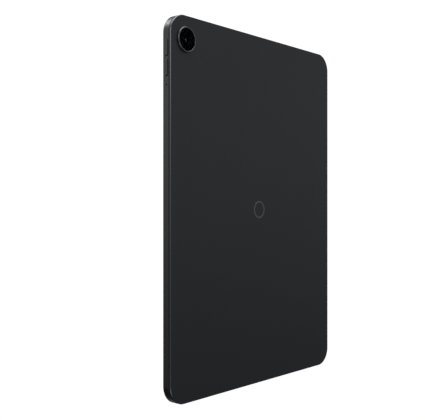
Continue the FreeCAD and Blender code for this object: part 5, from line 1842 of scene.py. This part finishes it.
@dataclass
class Chassis(SubAssembly):
    """What the tablet holds: mid plate, boards, batteries, cables and the screws."""

    head_radius: float = 1.3
    head_height: float = 0.5
    shank_radius: float = 0.7
    foot_bevel: float = 0.1
    head_bevel: float = 0.15
    drive_radius: float = 0.5
    drive_depth: float = 0.3
    seed: int = 11

    def screws(self) -> bpy.types.Object:
        """Makes the screws: one turned head and shank, repeated where the CAD has them.

        Returns:
            The screws as one piece.
        """
        solids = islands_mm("chassis_screws")
        foot, top = solids[0][0].y, solids[0][1].y
        seat = top - self.head_height
        profile = (
            (0.0, foot), (self.shank_radius - self.foot_bevel, foot),
            (self.shank_radius, foot + self.foot_bevel), (self.shank_radius, seat),
            (self.head_radius, seat), (self.head_radius, top - self.head_bevel),
            (self.head_radius - self.head_bevel, top), (self.drive_radius, top),
            (self.drive_radius, top - self.drive_depth), (0.0, top - self.drive_depth),
        )
        template = turned("screw", Vector((0.0, 0.0, 0.0)), profile, (SCREW_STEEL,), steps=FINE_CIRCLE)
        spots = [Vector(((low.x + high.x) / 2, 0.0, (low.z + high.z) / 2)) for low, high in solids]
        values = {
            "Part": template, "Finish": SCREW_STEEL.material(), "Turn": 2 * math.pi, "Seed": self.seed}
        row = grow("chassis_screws_turned", spots, spots_tree(), values)
        bpy.data.objects.remove(template)
        return row

    def build(self) -> None:
        """Makes the screws and dresses everything else inside."""
        self.keep(self.screws(), "pressed_steel", ["chassis_screws"])
        for finish, nodes in (
            (ROLLED_PLATE, ("mid_plate",)),
            (SOLDER_MASK, ("main_board", "sub_board", "battery_board")),
            (CHIP_RESIN, ("processor", "small_chips")),
            (PRESSED_STEEL, ("processor_can", "power_can")),
            (THERMAL_PAD, ("thermal_pad",)),
            (GRAPHITE, ("graphite_sheet",)),
            (MOULDED_BLACK, ("board_plugs", "antenna_carriers")),
            (POUCH_FOIL, ("battery_cell_left", "battery_cell_right")),
            (WHITE_TAPE, ("battery_tapes",)),
            (FLEX_FILM, ("battery_flex", "link_flex")),
        ):
            for node in nodes:
                self.dress(node, finish)


# ---------------------------------------------------------------- studio
@dataclass
class Studio:
    """A white sweep under soft light, and the camera."""

    camera_at: Point = (0.4352, 0.3346, 0.12723)
    camera_looks: Point = (-0.75589, -0.65462, 0.0)
    focal_mm: float = 62.64
    sensor_mm: float = 36.0
    floor_size: float = 8.0
    paper_glow: float = 1.05
    brightest: float = 2.0
    boxes: tuple[tuple[str, Point, float, float], ...] = (      # name, place, size in metres, watts
        ("front_overhead_box", (0.27, -0.86, 1.15), 0.42, 2.0),
        ("key_box", (0.78, 0.91, 0.68), 0.5, 0.55),
    )
    keys_side: Point = (0.756, -0.6545, 0.0)
    near_side: Point = (0.6545, 0.756, 0.0)
    keys_sky: tuple[tuple[float, float], ...] = (
        (-1.0, 0.02), (-0.35, 0.015), (-0.2, 0.035), (-0.1, 0.09), (0.0, 0.18), (0.2, 0.34), (0.45, 0.20),
        (0.7, 0.14), (0.9, 1.2), (1.0, 2.0),
    )
    far_sky: tuple[tuple[float, float], ...] = (
        (-1.0, 0.04), (-0.35, 0.055), (-0.2, 0.092), (0.0, 0.168), (0.2, 0.232), (0.45, 0.12), (0.7, 0.14),
        (0.9, 1.2), (1.0, 2.0),
    )
    near_sky: tuple[tuple[float, float], ...] = (
        (-1.0, 0.30), (-0.6, 0.50), (-0.42, 0.38), (-0.25, 0.06), (-0.12, 0.11), (0.0, 0.16), (0.08, 0.225),
        (0.2, 0.22), (0.45, 0.07), (0.7, 0.10), (0.9, 1.0), (1.0, 2.0),
    )

    def build(self) -> None:
        """Sets up the camera, the floor, the surroundings and the lights."""
        scene = bpy.context.scene
        scene.view_settings.view_transform = "Standard"
        scene.view_settings.look = "None"
        self.camera(scene)
        self.floor()
        self.surroundings(scene)
        self.lights()

    def camera(self, scene: bpy.types.Scene) -> None:
        """Places the camera and makes it the scene's own.

        Args:
            scene: The scene.
        """
        data = bpy.data.cameras.new("camera")
        data.lens = self.focal_mm
        data.sensor_width = self.sensor_mm
        data.clip_start = 0.01
        data.clip_end = 50.0
        data.dof.use_dof = False
        camera = bpy.data.objects.new("camera", data)
        camera.location = self.camera_at
        camera.rotation_euler = Vector(self.camera_looks).to_track_quat("-Z", "Y").to_euler()
        scene.collection.objects.link(camera)
        scene.camera = camera

    def floor(self) -> None:
        """Lays the white floor, which shines just enough to show no edge and lights nothing."""
        work = bmesh.new()
        half = self.floor_size / 2
        corners = [work.verts.new(corner) for corner in (
            (-half, -half, 0.0), (half, -half, 0.0), (half, half, 0.0), (-half, half, 0.0))]
        work.faces.new(corners)
        mesh = bpy.data.meshes.new("floor")
        work.to_mesh(mesh)
        work.free()
        material = bpy.data.materials.new("white_paper_sweep")
        material.use_nodes = True
        tree = material.node_tree
        tree.nodes.clear()
        glow = add_node(
            tree, "ShaderNodeEmission", {"Color": linear("#ffffff"), "Strength": self.paper_glow})
        add_node(tree, "ShaderNodeOutputMaterial", None, {"Surface": glow.outputs["Emission"]})
        mesh.materials.append(material)
        sheet = bpy.data.objects.new("floor", mesh)
        bpy.context.scene.collection.objects.link(sheet)
        sheet.visible_diffuse = False
        sheet.visible_glossy = False
        sheet.visible_transmission = False
        sheet.visible_shadow = False

    def surroundings(self, scene: bpy.types.Scene) -> None:
        """Makes the room: white to the eye, and soft levels from floor to ceiling on the metal.

        Each side of the room has its own levels, as pairs of the sine of the angle above the horizon
        and the brightness there. The near side's count both behind the camera and opposite to it.

        Args:
            scene: The scene.
        """
        world = bpy.data.worlds.new("light_tent")
        world.use_nodes = True
        scene.world = world
        tree = world.node_tree
        tree.nodes.clear()
        direction = add_node(tree, "ShaderNodeTexCoord").outputs["Generated"]
        parts = add_node(tree, "ShaderNodeSeparateXYZ", None, {"Vector": direction})
        height = add_node(
            tree, "ShaderNodeMapRange", {"From Min": -1.0, "From Max": 1.0}, {"Value": parts.outputs["Z"]})
        ramps = []
        for levels in (self.far_sky, self.keys_sky, self.near_sky):
            ramp = add_node(tree, "ShaderNodeValToRGB", None, {"Fac": height.outputs["Result"]})
            stops = ramp.color_ramp.elements
            for _ in levels[2:]:
                stops.new(0.5)
            for stop, (rise, level) in zip(stops, levels):
                share = level / self.brightest
                stop.position = (rise + 1) / 2
                stop.color = (share, share, share, 1.0)
            ramps.append(ramp.outputs["Color"])
        shares = []
        for side, start, end in ((self.keys_side, -0.7, 0.7), (self.near_side, 0.5, 0.95)):
            facing = add_node(
                tree, "ShaderNodeVectorMath", {"operation": "DOT_PRODUCT", 1: side}, {0: direction})
            either = facing.outputs["Value"]
            if side is self.near_side:
                either = add_node(tree, "ShaderNodeMath", {"operation": "ABSOLUTE"}, {0: either}).outputs[0]
            shares.append(add_node(
                tree, "ShaderNodeMapRange",
                {"interpolation_type": "SMOOTHSTEP", "From Min": start, "From Max": end},
                {"Value": either}).outputs["Result"])
        level = add_node(
            tree, "ShaderNodeMix", {"data_type": "RGBA"}, {0: shares[0], 6: ramps[0], 7: ramps[1]})
        colour = add_node(
            tree, "ShaderNodeMix", {"data_type": "RGBA"}, {0: shares[1], 6: level.outputs[2], 7: ramps[2]})
        tent = add_node(
            tree, "ShaderNodeBackground", {"Strength": self.brightest}, {"Color": colour.outputs[2]})
        white = add_node(
            tree, "ShaderNodeBackground", {"Color": linear("#ffffff"), "Strength": self.paper_glow})
        seen = add_node(tree, "ShaderNodeLightPath")
        both = add_node(
            tree, "ShaderNodeMixShader", None,
            {0: seen.outputs["Is Camera Ray"], 1: tent.outputs["Background"], 2: white.outputs["Background"]})
        add_node(tree, "ShaderNodeOutputWorld", None, {"Surface": both.outputs["Shader"]})

    def lights(self) -> None:
        """Hangs the soft boxes, each turned to the tablet's middle."""
        middle = Vector((0.0, 0.0, BODY_HIGH.z * MM / 2))
        for name, spot, size, watts in self.boxes:
            data = bpy.data.lights.new(name, "AREA")
            data.shape = "SQUARE"
            data.size = size
            data.energy = watts
            lamp = bpy.data.objects.new(name, data)
            lamp.location = spot
            lamp.rotation_euler = (middle - Vector(spot)).to_track_quat("-Z", "Y").to_euler()
            lamp.visible_camera = False
            bpy.context.scene.collection.objects.link(lamp)


def main() -> None:
    """Builds every sub-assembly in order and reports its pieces."""
    logging.basicConfig(level=logging.INFO, format="%(message)s")
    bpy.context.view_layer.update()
    Studio().build()
    for part in (
        Housing(), Mark(), CameraModule(), EdgeKeys(), CardTray(), SpeakerGrilles(), UsbPort(),
        DisplayStack(), Chassis(),
    ):
        part.build()
        part.report()


if __name__ == "__main__":
    main()
